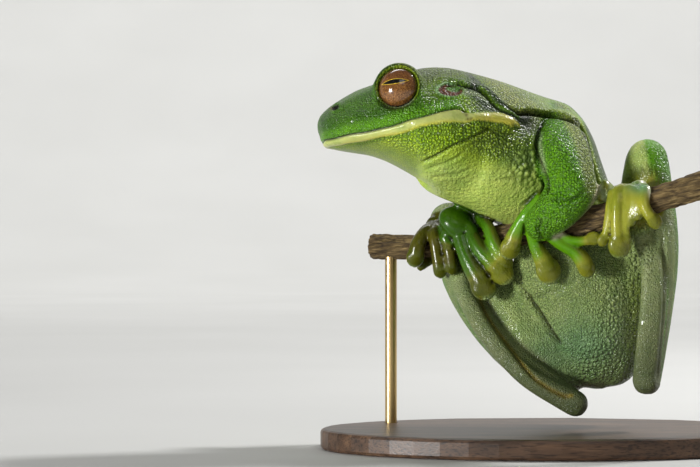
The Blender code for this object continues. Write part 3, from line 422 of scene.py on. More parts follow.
# Hands and feet: the palm or sole as centre, half sizes along, through and across it, and the way it
# points; then each digit as rows of x, y, z and radius, and the radius of its disc.
EXTREMITIES = {
    "foot_left": (
        ((20.4, -9.4, 60.4), (6.0, 2.2, 3.6), (-0.1, -0.6, 0.8)),
        (
            (((15.6, -9.0, 63.0, 1.2), (14.1, -10.2, 62.1, 1.4), (12.9, -10.6, 62.2, 1.4)), 2.4),
            (((16.2, -12.4, 63.1, 1.1), (13.7, -13.6, 61.2, 1.1), (13.0, -13.6, 57.2, 1.1),
              (12.5, -13.0, 53.1, 1.1), (11.9, -12.8, 51.4, 1.1)), 1.6),
            (((18.7, -11.5, 62.9, 1.4), (15.7, -13.8, 62.9, 1.4), (14.8, -15.3, 59.3, 1.5),
              (14.7, -15.3, 53.6, 1.5), (15.2, -14.8, 50.5, 2.0)), 2.9),
            (((19.0, -12.6, 63.1, 1.2), (17.5, -15.0, 63.1, 1.1), (17.0, -15.9, 59.3, 1.0),
              (16.6, -16.0, 55.5, 0.8), (17.1, -15.8, 51.7, 0.8)), 1.1),
            (((19.7, -13.0, 63.1, 1.1), (18.7, -15.5, 62.7, 1.0),
              (18.2, -16.4, 59.0, 0.9), (18.1, -16.4, 55.7, 0.9)), 1.1),
            (((20.6, -13.4, 62.9, 1.1), (19.8, -16.2, 62.2, 0.9),
              (19.2, -17.0, 59.3, 0.9), (19.5, -17.2, 56.9, 0.9)), 1.0),
            (((20.5, -12.6, 63.1, 1.4), (21.4, -16.2, 62.8, 1.3), (20.8, -18.2, 59.7, 1.3),
              (21.7, -18.6, 57.3, 1.4), (22.9, -18.4, 55.9, 1.5)), 1.9),
        ),
    ),
    "foot_right": (
        ((-26.0, 16.4, 51.4), (6.0, 2.2, 3.6), (-0.4, 0.0, 0.9)),
        (
            (((-25.5, 15.6, 53.9, 1.5), (-25.7, 12.0, 54.0, 1.4), (-25.0, 8.6, 51.9, 1.4),
              (-24.3, 7.5, 48.4, 1.5), (-23.7, 7.6, 44.5, 1.6)), 1.7),
            (((-26.5, 15.6, 54.6, 1.5), (-27.6, 12.4, 53.9, 1.3), (-27.9, 9.6, 51.4, 1.4),
              (-27.3, 8.9, 47.9, 1.5), (-26.6, 8.9, 44.0, 1.7)), 1.9),
            (((-27.5, 16.0, 54.4, 1.5), (-29.9, 12.6, 53.1, 1.6),
              (-31.8, 10.5, 50.1, 1.9), (-32.4, 10.5, 47.4, 2.1)), 2.4),
            (((-27.2, 17.0, 50.9, 1.5), (-29.9, 19.4, 48.3, 1.3), (-32.2, 18.0, 47.1, 1.3)), 1.8),
            (((-26.0, 16.6, 48.1, 1.5), (-28.5, 15.0, 46.1, 1.3), (-30.8, 13.4, 44.5, 1.1)), 1.2),
        ),
    ),
    "hand_left": (
        ((-2.2, -6.8, 54.6), (3.9, 3.0, 3.9), (-0.5, 0.1, -0.86)),
        (
            (((-2.7, -6.4, 60.6, 1.6), (-6.0, -5.8, 57.5, 1.4), (-7.9, -4.4, 54.3, 1.6),
              (-9.0, -3.2, 51.7, 2.0), (-9.6, -2.7, 49.7, 2.2)), 2.7),
            (((-3.9, -6.2, 58.2, 1.9), (-4.8, -5.2, 54.1, 1.7), (-4.0, -4.3, 50.2, 1.7),
              (-2.4, -3.9, 47.0, 2.2), (-1.1, -3.6, 44.4, 2.5)), 3.2),
            (((-1.5, -6.8, 53.3, 1.9), (1.9, -6.6, 50.2, 1.6), (5.4, -6.4, 48.2, 1.8),
              (7.2, -6.4, 46.3, 2.1), (8.0, -6.4, 44.7, 2.1)), 2.2),
            (
                ((0.9, -6.4, 52.4, 1.3), (4.2, -7.4, 51.1, 1.1), (7.3, -8.0, 50.7, 1.2), (9.3, -8.6, 51.2, 1.2)),
                1.8,
            ),
        ),
    ),
    "hand_right": (
        ((-21.6, 8.0, 54.8), (4.8, 3.4, 5.9), (-0.1, -0.7, -0.6)),
        (
            (((-16.7, 6.8, 56.6, 1.5), (-14.8, 3.2, 53.8, 1.6), (-13.6, 1.4, 50.2, 1.8),
              (-12.1, 1.1, 47.5, 2.0), (-11.3, 1.3, 46.1, 2.0)), 2.2),
            (((-19.7, 6.0, 53.9, 1.9), (-17.2, 3.3, 48.9, 2.0),
              (-14.5, 2.2, 45.8, 2.3), (-12.2, 1.8, 43.4, 2.4)), 2.9),
            (((-21.9, 6.2, 52.9, 2.1), (-20.8, 4.8, 48.7, 2.0), (-19.3, 3.9, 45.3, 2.3),
              (-17.6, 3.2, 42.3, 2.6), (-16.6, 2.9, 40.4, 2.7)), 3.3),
            (((-24.1, 8.4, 54.4, 1.7), (-25.1, 7.4, 51.6, 1.5), (-24.5, 7.2, 49.9, 1.5)), 1.6),
        ),
    ),
}
DISC_FLATNESS = 0.6
DISC_LENGTH = 1.12
LIMB_FLATNESS = {"tarsus_left": 0.62, "tarsus_right": 0.8}

EYE_RADIUS = 5.3
LID_OPENING = 4.85
EYE_PLACE = np.array((21.0, 11.0, 7.45))
EYE_AXIS = unit(np.array((-0.24, 0.95, 0.19)))
BROW_RADIUS = 6.25
MIRRORED = np.array((1, -1, 1))

flesh = [closed_skin(body_rings(8), from_head((0.05, 0, 3.0)), (13.6, 9.5, 13.6))]
for side in (np.ones(3), MIRRORED):
    flesh.append(
        lump(from_head(EYE_PLACE * side), (BROW_RADIUS, BROW_RADIUS, BROW_RADIUS + 0.2), HEAD_AXES, 40)
    )
for name, rows in LIMBS.items():
    flesh.append(rounded_tube(rows, 8, 32, LIMB_FLATNESS.get(name, 1.0)))
for rows in JOINTS:
    flesh.append(rounded_tube(rows, 4, 24))
for (centre, half, direction), digits in EXTREMITIES.values():
    along = unit(np.array(direction))
    sideways = unit(np.cross(along, FRONT))
    flesh.append(lump(np.array(centre), half, (along, np.cross(sideways, along), sideways)))
    for rows, disc_radius in digits:
        flesh.append(rounded_tube(rows, 8, 20))
        tip, before = np.array(rows[-1][:3]), np.array(rows[-2][:3])
        along = unit(tip - before)
        sideways = unit(np.cross(along, FRONT))
        radii = (disc_radius, disc_radius * DISC_FLATNESS, disc_radius * DISC_LENGTH)
        flesh.append(
            lump(tip + along * disc_radius * 0.3, radii, (sideways, np.cross(sideways, along), along))
        )

# All the closed forms are fused into one surface by remeshing.
VOXEL = 0.45
points, faces, count = [], [], 0
for form_points, form_faces in flesh:
    points.append(form_points)
    faces.extend([[corner + count for corner in face] for face in form_faces])
    count += len(form_points)
fused = bpy.data.meshes.new("flesh")
fused.from_pydata(np.vstack(points) * MM, [], faces)


def with_modifier(mesh, kind, settings, group=()):
    """The mesh changed by one modifier; the group names the points that it may change."""
    holder = bpy.data.objects.new("flesh", mesh)
    bpy.context.scene.collection.objects.link(holder)
    if len(group):
        holder.vertex_groups.new(name="plain").add(group.tolist(), 1.0, "REPLACE")
    modifier = holder.modifiers.new("change", kind)
    for key, value in settings.items():
        setattr(modifier, key, value)
    changed = bpy.data.meshes.new_from_object(holder.evaluated_get(bpy.context.evaluated_depsgraph_get()))
    bpy.data.objects.remove(holder)
    return changed


def corner_places(mesh):
    """The points of a mesh in millimetres."""
    found = np.empty(len(mesh.vertices) * 3)
    mesh.vertices.foreach_get("co", found)
    return found.reshape(-1, 3) / MM


fused = with_modifier(fused, "REMESH", {"mode": "VOXEL", "voxel_size": VOXEL * MM})


def edge_pairs(mesh):
    """The two ends of every edge of a mesh."""
    pairs = np.empty(len(mesh.edges) * 2, int)
    mesh.edges.foreach_get("vertices", pairs)
    return pairs.reshape(-1, 2)


def neighbour_mean(places, pairs):
    """The mean place of each point's neighbours."""
    count = np.bincount(pairs.ravel(), minlength=len(places))[:, None]
    total = np.empty_like(places)
    for axis in range(places.shape[1]):
        total[:, axis] = np.bincount(pairs[:, 0], places[pairs[:, 1], axis], len(places))
        total[:, axis] += np.bincount(pairs[:, 1], places[pairs[:, 0], axis], len(places))
    return total / count


def relaxed(places, pairs, rounds, weight=1.0, inward=0.5, outward=-0.52):
    """Levels out bumps: each point goes half way to its neighbours' mean and then back a little more,
    so that thin limbs keep their girth."""
    for _ in range(rounds):
        for share in (inward, outward):
            places = places + share * weight * (neighbour_mean(places, pairs) - places)
    return places


def spread_out(values, pairs, rounds):
    """Blurs numbers kept at the points of a mesh by mixing each with its neighbours' mean."""
    columns = values.reshape(len(values), -1)
    for _ in range(rounds):
        columns = columns + 0.6 * (neighbour_mean(columns, pairs) - columns)
    return columns.reshape(values.shape)


def ramp_up(value, low, high):
    """0 below low, 1 above high, and a smooth climb between."""
    share = np.clip((value - low) / (high - low), 0, 1)
    return share * share * (3 - 2 * share)


def bell(value, width):
    """1 at nothing, falling away on both sides as a bell curve."""
    return np.exp(-((value / width) ** 2))


def nearest_on_line(places, line):
    """How far each place is from a line of points, less the line's own radius where it has one, how far
    along the line the nearest spot is, and that spot."""
    line = np.array(line, float)
    size = places.shape[1]
    best = np.full(len(places), np.inf)
    along = np.zeros(len(places))
    spot = np.zeros_like(places)
    for number, (start, end) in enumerate(zip(line, line[1:])):
        span = end[:size] - start[:size]
        share = np.clip((places - start[:size]) @ span / (span @ span), 0, 1)
        here = start[:size] + share[:, None] * span
        away = np.linalg.norm(places - here, axis=1)
        if len(start) > size:
            away = away - (start[size] + (end[size] - start[size]) * share)
        closer = away < best
        best = np.where(closer, away, best)
        along = np.where(closer, number + share, along)
        spot = np.where(closer[:, None], here, spot)
    return best, along, spot


def in_head_frame(places):
    """Places back, left and up in the head's frame; left is negative on the right side."""
    return (places - MOUTH_FRONT) @ HEAD_AXES.T


def surface_normals(mesh, places):
    """Outward directions at every point of the mesh with its points at the given places."""
    mesh.vertices.foreach_set("co", (places * MM).ravel())
    mesh.update()
    normals = np.empty(len(places) * 3)
    mesh.vertices.foreach_get("normal", normals)
    return normals.reshape(-1, 3)


# Folds of the body, as lines of x and z seen by the viewer: how deep each is, how wide, and how far the
# skin swells beside it.
VIEW_FOLDS = (
    (((-8.2, 41.6), (-2.7, 33.7), (0.9, 27.9), (3.5, 24.4)), 0.9, 0.55, 0.25),
    (((-8.0, 38.6), (-5.2, 37.1), (-1.5, 37.3), (2.1, 38.8), (5.0, 40.5), (7.5, 42.7)), 0.12, 0.6, 0.30),
    (((-1.9, 60.9), (1.0, 60.4), (4.5, 60.9), (8.4, 63.5)), 0.35, 0.4, 0.25),
    (((9.0, 61.7), (5.4, 61.0), (2.2, 59.9)), 0.30, 0.35, 0.15),
    (((-5.2, 57.0), (-3.3, 55.3), (-3.9, 53.5), (-2.8, 51.4), (-1.4, 50.0)), 0.55, 0.5, 0.25),
    (((-17.4, 37.8), (-14.9, 31.9), (-9.3, 23.9), (-3.7, 17.1), (2.4, 13.4), (4.8, 13.2)), 0.45, 0.5, 0.10),
    (
        ((-1.3, 81.4), (-3.2, 77.3), (-4.0, 74.1), (-3.7, 70.9), (-2.6, 67.3), (-1.7, 64.0), (-2.3, 61.0)),
        0.7, 0.45, 0.15,
    ),
    (
        ((-32.7, 69.1), (-28.5, 70.9), (-24.9, 73.0), (-21.3, 74.6), (-17.2, 76.6), (-14.9, 78.6)), 0.45,
        0.35, 0.25,
    ),
    (((-31.5, 67.6), (-27.3, 68.9), (-23.7, 70.4), (-20.6, 73.0)), 0.22, 0.35, 0.15),
    (((-30.4, 65.7), (-26.5, 66.3), (-22.5, 66.9), (-18.8, 68.6)), 0.18, 0.4, 0.12),
    (((-14.5, 65.3), (-10.5, 65.6), (-5.5, 65.4)), 0.2, 0.35, 0.15),
    (((25.6, 56.0), (26.3, 47.0), (26.2, 36.0), (25.4, 24.0), (24.6, 15.0)), 0.35, 0.5, 0.15),
)
# The skin of the back hangs over the top of the left arm as a cape with this free edge.
CAPE_EDGE = curve_through(
    (
        (-14.3, 86.2), (-11.4, 83.4), (-8.5, 81.9), (-5.6, 82.1), (-2.7, 81.7), (2.1, 81.2), (5.9, 79.7),
        (7.4, 78.5), (8.3, 76.6), (9.2, 74.2), (10.2, 69.7), (11.2, 65.8),
    ),
    6,
)


def near_folds(places, normals):
    """How far the places that face the viewer are from the folds and from the edge of the cape."""
    lines = [curve_through(line, 3) for line, *_ in VIEW_FOLDS] + [CAPE_EDGE[::2]]
    near = np.min([nearest_on_line(places[:, ::2], line)[0] for line in lines], axis=0)
    return np.where(normals[:, 1] < 0.15, near, np.inf)


# Away from the head, the folds, the fingers and the toes the faces are joined into larger ones.
FACES_KEPT = 0.45
digit_lines = [rows for _, digits in EXTREMITIES.values() for rows, _ in digits]
places = corner_places(fused)
places = relaxed(places, edge_pairs(fused), 3)
fused.vertices.foreach_set("co", (places * MM).ravel())
near_digits = np.min([nearest_on_line(places, rows)[0] for rows in digit_lines], axis=0)
head = in_head_frame(places)
plain = (near_digits > 2.2) & ((head[:, 0] > 44) | (head[:, 1] < 2))
plain &= near_folds(places, surface_normals(fused, places)) > 1.8
settings = {"ratio": FACES_KEPT, "vertex_group": "plain", "use_collapse_triangulate": True}
fused = with_modifier(fused, "DECIMATE", settings, np.nonzero(plain)[0])

# Creases are where the surface is hollow: between two forms that meet.
places = corner_places(fused)
pairs = edge_pairs(fused)
reach = np.linalg.norm(places[pairs[:, 0]] - places[pairs[:, 1]], axis=1)
reach = (
    np.bincount(pairs[:, 0], reach, len(places)) / np.maximum(np.bincount(pairs[:, 0], None, len(places)), 1)
)
hollow = ((neighbour_mean(places, pairs) - places) * surface_normals(fused, places)).sum(axis=1)
hollow = hollow / np.maximum(reach, 0.2)
layer = fused.attributes.new("crease", "FLOAT", "POINT")
layer.data.foreach_set("value", spread_out(hollow, pairs, 3))

# Where limbs meet the trunk and each other the skin is drawn into soft folds; fingers stay crisp.
near_digits = np.min([nearest_on_line(places, rows)[0] for rows in digit_lines], axis=0)
soft = ramp_up(near_digits, 1.0, 5.0)[:, None]
places = relaxed(places, pairs, 6, 0.5 + 0.5 * soft)
places = relaxed(places, pairs, 10, soft, 0.5, -0.3)
fused.vertices.foreach_set("co", (places * MM).ravel())

# Round the near eye, along the near side of the mouth and at the folds the faces are finer still.
form = bmesh.new()
form.from_mesh(fused)
folded = near_folds(places, surface_normals(fused, places)) < 1.0
head = in_head_frame(places)
eye_far = np.linalg.norm(head - EYE_PLACE, axis=1)
chosen = (eye_far < 7.4) & (eye_far > 4.2) & (head[:, 1] > 7)
chosen |= (np.abs(head[:, 2] + 0.8) < 1.6) & (head[:, 0] < 36) & (head[:, 1] > 0) & (head[:, 0] > -3)
chosen |= (np.abs(head[:, 0] - 5) < 2) & (np.abs(head[:, 2] - 7) < 2) & (head[:, 1] > 2)
chosen |= (np.abs(head[:, 0] - 33) < 4) & (np.abs(head[:, 2] - 5) < 3) & (head[:, 1] > 8)
chosen |= folded
edges = [edge for edge in form.edges if chosen[edge.verts[0].index] and chosen[edge.verts[1].index]]
bmesh.ops.subdivide_edges(form, edges=edges, cuts=1, use_grid_fill=True, smooth=0.3)
bmesh.ops.triangulate(form, faces=[face for face in form.faces if len(face.verts) > 4])
form.to_mesh(fused)
form.free()
places = corner_places(fused)
pairs = edge_pairs(fused)
head = in_head_frame(places)
places = relaxed(places, pairs, 5, ramp_up(38 - head[:, 0], 0, 3)[:, None])
crease = np.empty(len(places))
fused.attributes["crease"].data.foreach_get("value", crease)
crease = ramp_up(crease, 0.035, 0.14)


# The eyelids: round each eye the skin ends in a thin raised rim that lies on the eyeball.
for side in (np.ones(3), MIRRORED):
    head = in_head_frame(places) * side
    offset = head - EYE_PLACE
    out = offset @ EYE_AXIS
    sideways = offset - out[:, None] * EYE_AXIS
    spread = np.linalg.norm(sideways, axis=1)
    facing = (out > -1.0) & (np.linalg.norm(offset, axis=1) < 9.0) & (head[:, 1] > 5)
    ball = np.sqrt(np.clip(EYE_RADIUS**2 - spread**2, 0, None))
    rim_out = math.sqrt(EYE_RADIUS**2 - LID_OPENING**2)
    crest = rim_out + 0.16 + 0.42 * ramp_up(spread, LID_OPENING, LID_OPENING + 0.35)
    blend = ramp_up(spread, LID_OPENING + 0.25, LID_OPENING + 1.5)
    lid_out = crest * (1 - blend) + out * blend
    new_out = np.where(spread < LID_OPENING - 0.12, np.minimum(ball - 0.55, lid_out), lid_out)
    snapped = np.where(np.abs(spread - LID_OPENING) < 0.12, LID_OPENING, spread)
    new_out = np.where(facing & (spread < LID_OPENING + 1.5), new_out, out)
    snapped = np.where(facing, snapped, spread)
    sideways = sideways * (snapped / np.maximum(spread, 0.001))[:, None]
    head = np.where(facing[:, None], EYE_PLACE + sideways + new_out[:, None] * EYE_AXIS, head)
    places = from_head(head * side)

# The mouth: back and up along its line, and the white lip's lower edge below it.
MOUTH_LINE = (
    (-2, 0.0), (1.0, 0.0), (2.4, -0.3), (4.7, -0.45), (7.1, -0.5), (10.5, -0.95), (14.0, -1.1), (17.5, -1.15),
    (21.2, -0.72), (24.7, -0.7), (28.6, -0.4), (31.0, -0.4), (33.0, -0.6), (34.2, -1.6), (36.0, -2.3),
    (38.0, -2.5), (40.6, -2.9), (43.0, -3.4), (45.2, -4.5), (46.5, -5.7), (47.2, -6.8),
)
LIP_EDGE = (
    (-2, -1.3), (1.4, -1.5), (4.5, -2.1), (6.8, -2.25), (10.2, -2.75), (13.8, -2.9), (17.2, -3.3),
    (19.5, -3.4),
    (22.0, -3.1), (24.3, -3.0), (27.9, -3.2), (31.2, -3.6), (33.6, -4.3), (36.2, -4.1), (38.5, -4.7),
    (41.0, -5.5), (43.4, -6.3), (45.5, -7.2), (47.2, -6.9),
)
mouth_curve = curve_through(MOUTH_LINE, 6)
lip_curve = curve_through(LIP_EDGE, 6)
head = in_head_frame(places)
back, up = head[:, 0], head[:, 2]
outer = np.abs(head[:, 1])
above_mouth = up - np.interp(back, mouth_curve[:, 0], mouth_curve[:, 1])
above_edge = up - np.interp(back, lip_curve[:, 0], lip_curve[:, 1])
# The muzzle is nearly round in plan, so at its front both lines keep their height.
near_mouth = ramp_up(outer, 2.0, 4.0) * (back < 48) + (back < 3.5) * (1 - ramp_up(outer, 2.0, 4.0))
near_mouth = np.clip(near_mouth, 0, 1) * ramp_up(back, -4, -3) * ramp_up(48 - back, 0, 1)
on_lip = ramp_up(-above_mouth, -0.05, 0.1) * ramp_up(above_edge, -0.1, 0.15) * near_mouth
lip_height = np.maximum(
    0.5,
    np.interp(back, mouth_curve[:, 0], mouth_curve[:, 1]) - np.interp(back, lip_curve[:, 0], lip_curve[:, 1]),
)
share = np.clip(-above_mouth / lip_height, 0, 1)
push = 0.38 * np.sqrt(np.clip(4 * share * (1 - share), 0, 1)) * on_lip * ramp_up(back, -2, 2)
push -= 0.45 * bell(above_mouth, 0.22) * near_mouth * ramp_up(35.5 - back, 0, 1.5)
push += 0.28 * bell(above_mouth - 0.75, 0.6) * near_mouth * ramp_up(35.0 - back, 0, 2)
push -= 0.18 * bell(above_edge + 0.1, 0.3) * near_mouth
# Behind the corner of the mouth the white band runs on over a swelling.
swelling = nearest_on_line(head[:, ::2], ((36.5, -3.6), (41, -4.6), (45, -6.0)))[0]
under_swelling = nearest_on_line(
    head[:, ::2], ((38.0, -6.0), (41.5, -7.3), (44.5, -8.7), (47.0, -8.6), (48.3, -6.8))
)[0]
push += (0.9 * bell(swelling, 1.8) - 0.6 * bell(under_swelling, 0.5)) * ramp_up(outer, 6, 9)

# Nostrils, eardrums, and the folds over the eardrums.
NOSTRIL = np.array((5.4, 7.0))
EARDRUM = np.array((32.45, 4.4))
seen = head[:, ::2]
on_side = ramp_up(outer, 3, 4.5)
from_nostril = np.linalg.norm((seen - NOSTRIL) * (1, 1.25), axis=1)
nostril_side = on_side * (back < 12)
push += nostril_side * (0.30 * bell(from_nostril - 1.15, 0.42) - 1.1 * bell(from_nostril, 0.65))
tilt = math.radians(-12)
along_drum = (seen - EARDRUM) @ np.array((math.cos(tilt), math.sin(tilt)))
across_drum = (seen - EARDRUM) @ np.array((-math.sin(tilt), math.cos(tilt)))
in_drum = np.hypot(along_drum / 3.0, (across_drum + 0.1 * (along_drum / 3.0) ** 2) / 1.6)
drum_side = ramp_up(outer, 8, 10)
push += drum_side * (0.22 * bell(in_drum - 1.12, 0.14) - 0.38 * ramp_up(1.05 - in_drum, 0, 0.25))
push += drum_side * 0.18 * bell(in_drum, 0.4)
FOLD_RIDGE = curve_through(
    (
        (31.0, 7.6), (33.6, 6.9), (37.1, 5.3), (39.9, 4.2), (42.0, 2.6), (43.4, 0.5), (44.8, -1.8),
        (46.4, -3.9),
    ),
    6,
)
FOLD_GROOVE = curve_through(
    (
        (32.6, 6.0), (35.4, 5.1), (37.6, 4.1), (39.6, 3.0), (41.0, 1.2), (41.8, -0.5), (43.2, -2.5),
        (45.0, -3.8), (47.4, -5.6),
    ),
    6,
)
ridge_far = nearest_on_line(seen, FOLD_RIDGE)[0]
groove_far = nearest_on_line(seen, FOLD_GROOVE)[0]
push += drum_side * (0.55 * bell(ridge_far, 0.85) - 0.65 * bell(groove_far, 0.38))
# A soft ridge runs from the nostril to the eye, with a hollow below it.
canthus_far = nearest_on_line(seen, ((6.5, 7.4), (11, 8.2), (15, 9.4)))[0]
push += 0.35 * bell(canthus_far, 1.2) * on_side * (back < 18)
push -= 0.30 * bell(np.hypot((back - 11) / 5, (up - 4.8) / 1.8), 1.0) * on_side

# Folds of the body and the free edge of the cape, on the viewer's side.
normals = surface_normals(fused, places)
to_viewer = ramp_up(-normals[:, 1], 0.05, 0.4)
seen_flat = places[:, ::2]
x, y, z = places.T
fold_shade = np.zeros(len(places))
for line, depth, width, swell in VIEW_FOLDS:
    far, along, _ = nearest_on_line(seen_flat, curve_through(line, 6))
    ends = ramp_up(along, 0, 4) * ramp_up(6 * (len(line) - 1) - along, 0, 4)
    push += to_viewer * ends * (swell * bell(far - 2.2 * width, 1.2 * width) - depth * bell(far, width))
    fold_shade = np.maximum(fold_shade, min(1, 1.5 * depth) * ends * to_viewer * bell(far, 0.75 * width))

cape_far, cape_along, spot = nearest_on_line(seen_flat, CAPE_EDGE)
heading = unit(np.gradient(CAPE_EDGE, axis=0))[np.round(cape_along).astype(int)]
over_edge = ((seen_flat - spot) * np.stack((-heading[:, 1], heading[:, 0]), axis=1)).sum(axis=1)
at_cape = ramp_up(cape_along, 4, 14) * ramp_up(5 - cape_far, 0, 1.5) * ramp_up(-normals[:, 1], -0.25, 0.15)
overhang = np.where(over_edge > 0, bell(over_edge, 2.2), bell(over_edge, 0.15))
push += at_cape * (0.95 * overhang - 1.2 * bell(over_edge + 0.5, 0.42))
cape_shade = at_cape * bell(over_edge + 0.42, 0.38)
# Between the cape, the swelling and the arm the skin sinks into a hollow.
in_hollow = bell(np.hypot((x + 5.8) / 2.4, (z - 78.6) / 2.2), 1.0) * ramp_up(-normals[:, 1], 0.0, 0.3)
push -= 0.8 * in_hollow
# Creases between digits, and between limbs and trunk, are drawn in.
near_digits = np.min([nearest_on_line(places, rows)[0] for rows in digit_lines], axis=0)
at_digits = 1 - ramp_up(near_digits, 1.0, 2.5)
push -= crease * (0.08 + 0.16 * at_digits)

places = places + push[:, None] * normals
normals = surface_normals(fused, places)
head = in_head_frame(places)
back, up = head[:, 0], head[:, 2]
outer = np.abs(head[:, 1])
x, y, z = places.T
seen_flat = places[:, ::2]
to_viewer = ramp_up(-normals[:, 1], 0.0, 0.35)

# Which ring of the body lies nearest, and where on it: lift is 1 at the crown or back and -1 at the
# throat, and front is 1 on the viewer's side.
coarse = body_rings(3)[:, ::3]
ring_count, side_count = coarse.shape[:2]
coarse = coarse.reshape(-1, 3)
nearest = np.empty(len(places), int)
for start in range(0, len(places), 15000):
    batch = places[start : start + 15000]
    nearest[start : start + 15000] = np.argmin((coarse**2).sum(1) - 2 * batch @ coarse.T, axis=1)
turn = (nearest % side_count) * 2 * math.pi / side_count
body = np.stack((nearest // side_count / (ring_count - 1), np.cos(turn), np.sin(turn)), axis=1)
station, lift, front = spread_out(body, pairs, 14).T

# Colours of the living skin.
BRIGHT_GREEN = np.array((0.105, 0.30, 0.004))
DEEP_GREEN = np.array((0.045, 0.13, 0.003))
DARK_GREEN = np.array((0.030, 0.075, 0.004))
CROWN_GREEN = np.array((0.12, 0.19, 0.004))
# A grey-green painted sheen, laid on the green back and arm as the gloss of the light from behind.
SHEEN_GREY = np.array((0.31, 0.38, 0.09))
YELLOW_GREEN = np.array((0.25, 0.42, 0.008))
THROAT = np.array((0.36, 0.50, 0.030))
CREAM = np.array((0.39, 0.50, 0.11))
LIP_WHITE = np.array((0.43, 0.48, 0.15))
LIP_YELLOW = np.array((0.50, 0.48, 0.020))
BELLY = np.array((0.27, 0.36, 0.12))
BLUE_SHADE = np.array((0.13, 0.27, 0.13))
PALE_LEG = np.array((0.25, 0.31, 0.13))
EDGE_GREEN = np.array((0.12, 0.17, 0.008))
OLIVE = np.array((0.16, 0.175, 0.012))
TOE_YELLOW = np.array((0.30, 0.31, 0.03))
TOE_BROWN = np.array((0.22, 0.19, 0.035))
PALE_RIM = np.array((0.36, 0.46, 0.22))
DRUM_BROWN = np.array((0.13, 0.045, 0.018))
DRUM_GREEN = np.array((0.10, 0.24, 0.04))
LINE_BROWN = np.array((0.22, 0.17, 0.015))
BLACK = np.array((0.006, 0.007, 0.004))


def blended(under, over, share):
    """One colour over another by a share at each point."""
    return under + (np.asarray(over) - under) * np.clip(share, 0, 1)[:, None]


def patch(centre_x, centre_z, half_x, half_z):
    """1 in the middle of a patch of the viewer's side, fading out round it."""
    return bell(np.hypot((x - centre_x) / half_x, (z - centre_z) / half_z), 1.0) * to_viewer


on_trunk = ramp_up(station, 0.50, 0.66)
in_face = ramp_up(36 - back, 0, 4)
drum_side = ramp_up(outer, 8, 10)
# Underside: yellow-green cheeks, a paler throat, a cream chest and a sage belly.
colour = np.tile(YELLOW_GREEN, (len(places), 1))
colour = blended(colour, THROAT, ramp_up(-lift, 0.30, 0.70))
colour = blended(colour, CREAM, ramp_up(-lift, 0.2, 0.6) * ramp_up(station, 0.42, 0.60))
colour = blended(colour, BELLY, ramp_up(-z, -60, -48))
colour = blended(colour, BLUE_SHADE, 0.75 * patch(8.5, 25.5, 9.0, 7.0) + 0.5 * patch(-3.0, 21.0, 6.0, 6.0))
colour = blended(colour, EDGE_GREEN, 0.9 * ramp_up(x, 16.5, 21.5) * ramp_up(46 - z, 0, 8) * to_viewer)
# Low on the viewer's side the colour is painted darker as shade, where the light falls off towards the bottom.
colour = blended(colour, colour * (0.55, 0.62, 0.58), ramp_up(-z, -30, -14) * to_viewer)
# Below the long crease of the throat the skin is paler and smoother; beside the arm it is dark.
cheek_line = curve_through(VIEW_FOLDS[7][0], 6)
below_crease = np.interp(x, cheek_line[:, 0], cheek_line[:, 1]) - z
below_crease = (
    ramp_up(below_crease, -0.2, 0.6) * ramp_up(x, -34, -30) * ramp_up(z, 46, 56) * (1 - ramp_up(x, -14, -6))
)
chest_low = ramp_up(71 - z + 0.12 * (x + 20), 0, 6) * ramp_up(z, 50, 56) * ramp_up(x, -36, -28)
colour = blended(colour, THROAT, 0.8 * below_crease)
colour = blended(colour, CREAM, 0.9 * chest_low)
colour = blended(colour, (0.38, 0.50, 0.17), 0.5 * patch(-27.0, 68.0, 6.0, 2.5))
colour = blended(colour, (0.13, 0.21, 0.010), 0.9 * patch(-12.5, 75.2, 7.5, 4.4))
colour = blended(colour, (0.26, 0.38, 0.13), 0.6 * patch(-6.5, 70.5, 5.5, 2.6))
# Upper side: green snout and face, a darker crown with a bronze cast, and the cape painted grey-green as sheen
# of the light from behind.
upper = np.tile(BRIGHT_GREEN, (len(places), 1))
upper = blended(
    upper, DEEP_GREEN, (0.75 - 0.2 * ramp_up(back, 22, 30)) * ramp_up(up, 0.6, 2.8) * ramp_up(34 - back, 0, 6)
)
upper = blended(upper, CROWN_GREEN, ramp_up(up, 5.5, 9.0) * ramp_up(back, 16, 24))
upper = blended(upper, CROWN_GREEN * (1, 1.05, 2.2), 0.6 * ramp_up(back, 24, 27) * ramp_up(up, 1.5, 4.5))
upper = blended(upper, SHEEN_GREY, ramp_up(back, 38, 46))
upper = blended(upper, DEEP_GREEN * 1.5, 0.8 * on_trunk)
above_fold = up - np.interp(back, FOLD_GROOVE[:, 0], FOLD_GROOVE[:, 1])
under_fold = ramp_up(-above_fold, 0.0, 0.5) * ramp_up(back, 34.5, 37) * ramp_up(50 - back, 0, 2) * drum_side
neck_green = ramp_up(lift, 0.30, 0.55)
back_green = ramp_up(-front, -0.30, 0.05)
is_upper = neck_green * (1 - on_trunk) + back_green * on_trunk
is_upper = is_upper * (1 - in_face) + in_face * ramp_up(above_mouth, -0.12, 0.08)
colour = blended(colour, upper, is_upper)
# Under the free edge of the cape and under the fold over the eardrum the skin is painted dark green as shade.
under_cape = ramp_up(-over_edge, 0.0, 0.5) * ramp_up(5.5 + over_edge, 0, 1.5)
under_cape = np.maximum(under_cape * ramp_up(-4 - x, 0, 2), patch(-16.0, 83.0, 4.2, 2.3))
under_cape = under_cape * ramp_up(above_mouth, 0.0, 0.4) * ramp_up(x, -22, -19) * to_viewer
colour = blended(colour, DARK_GREEN * 0.7, 0.95 * under_cape)
colour = blended(colour, DARK_GREEN, 0.85 * under_fold * is_upper)
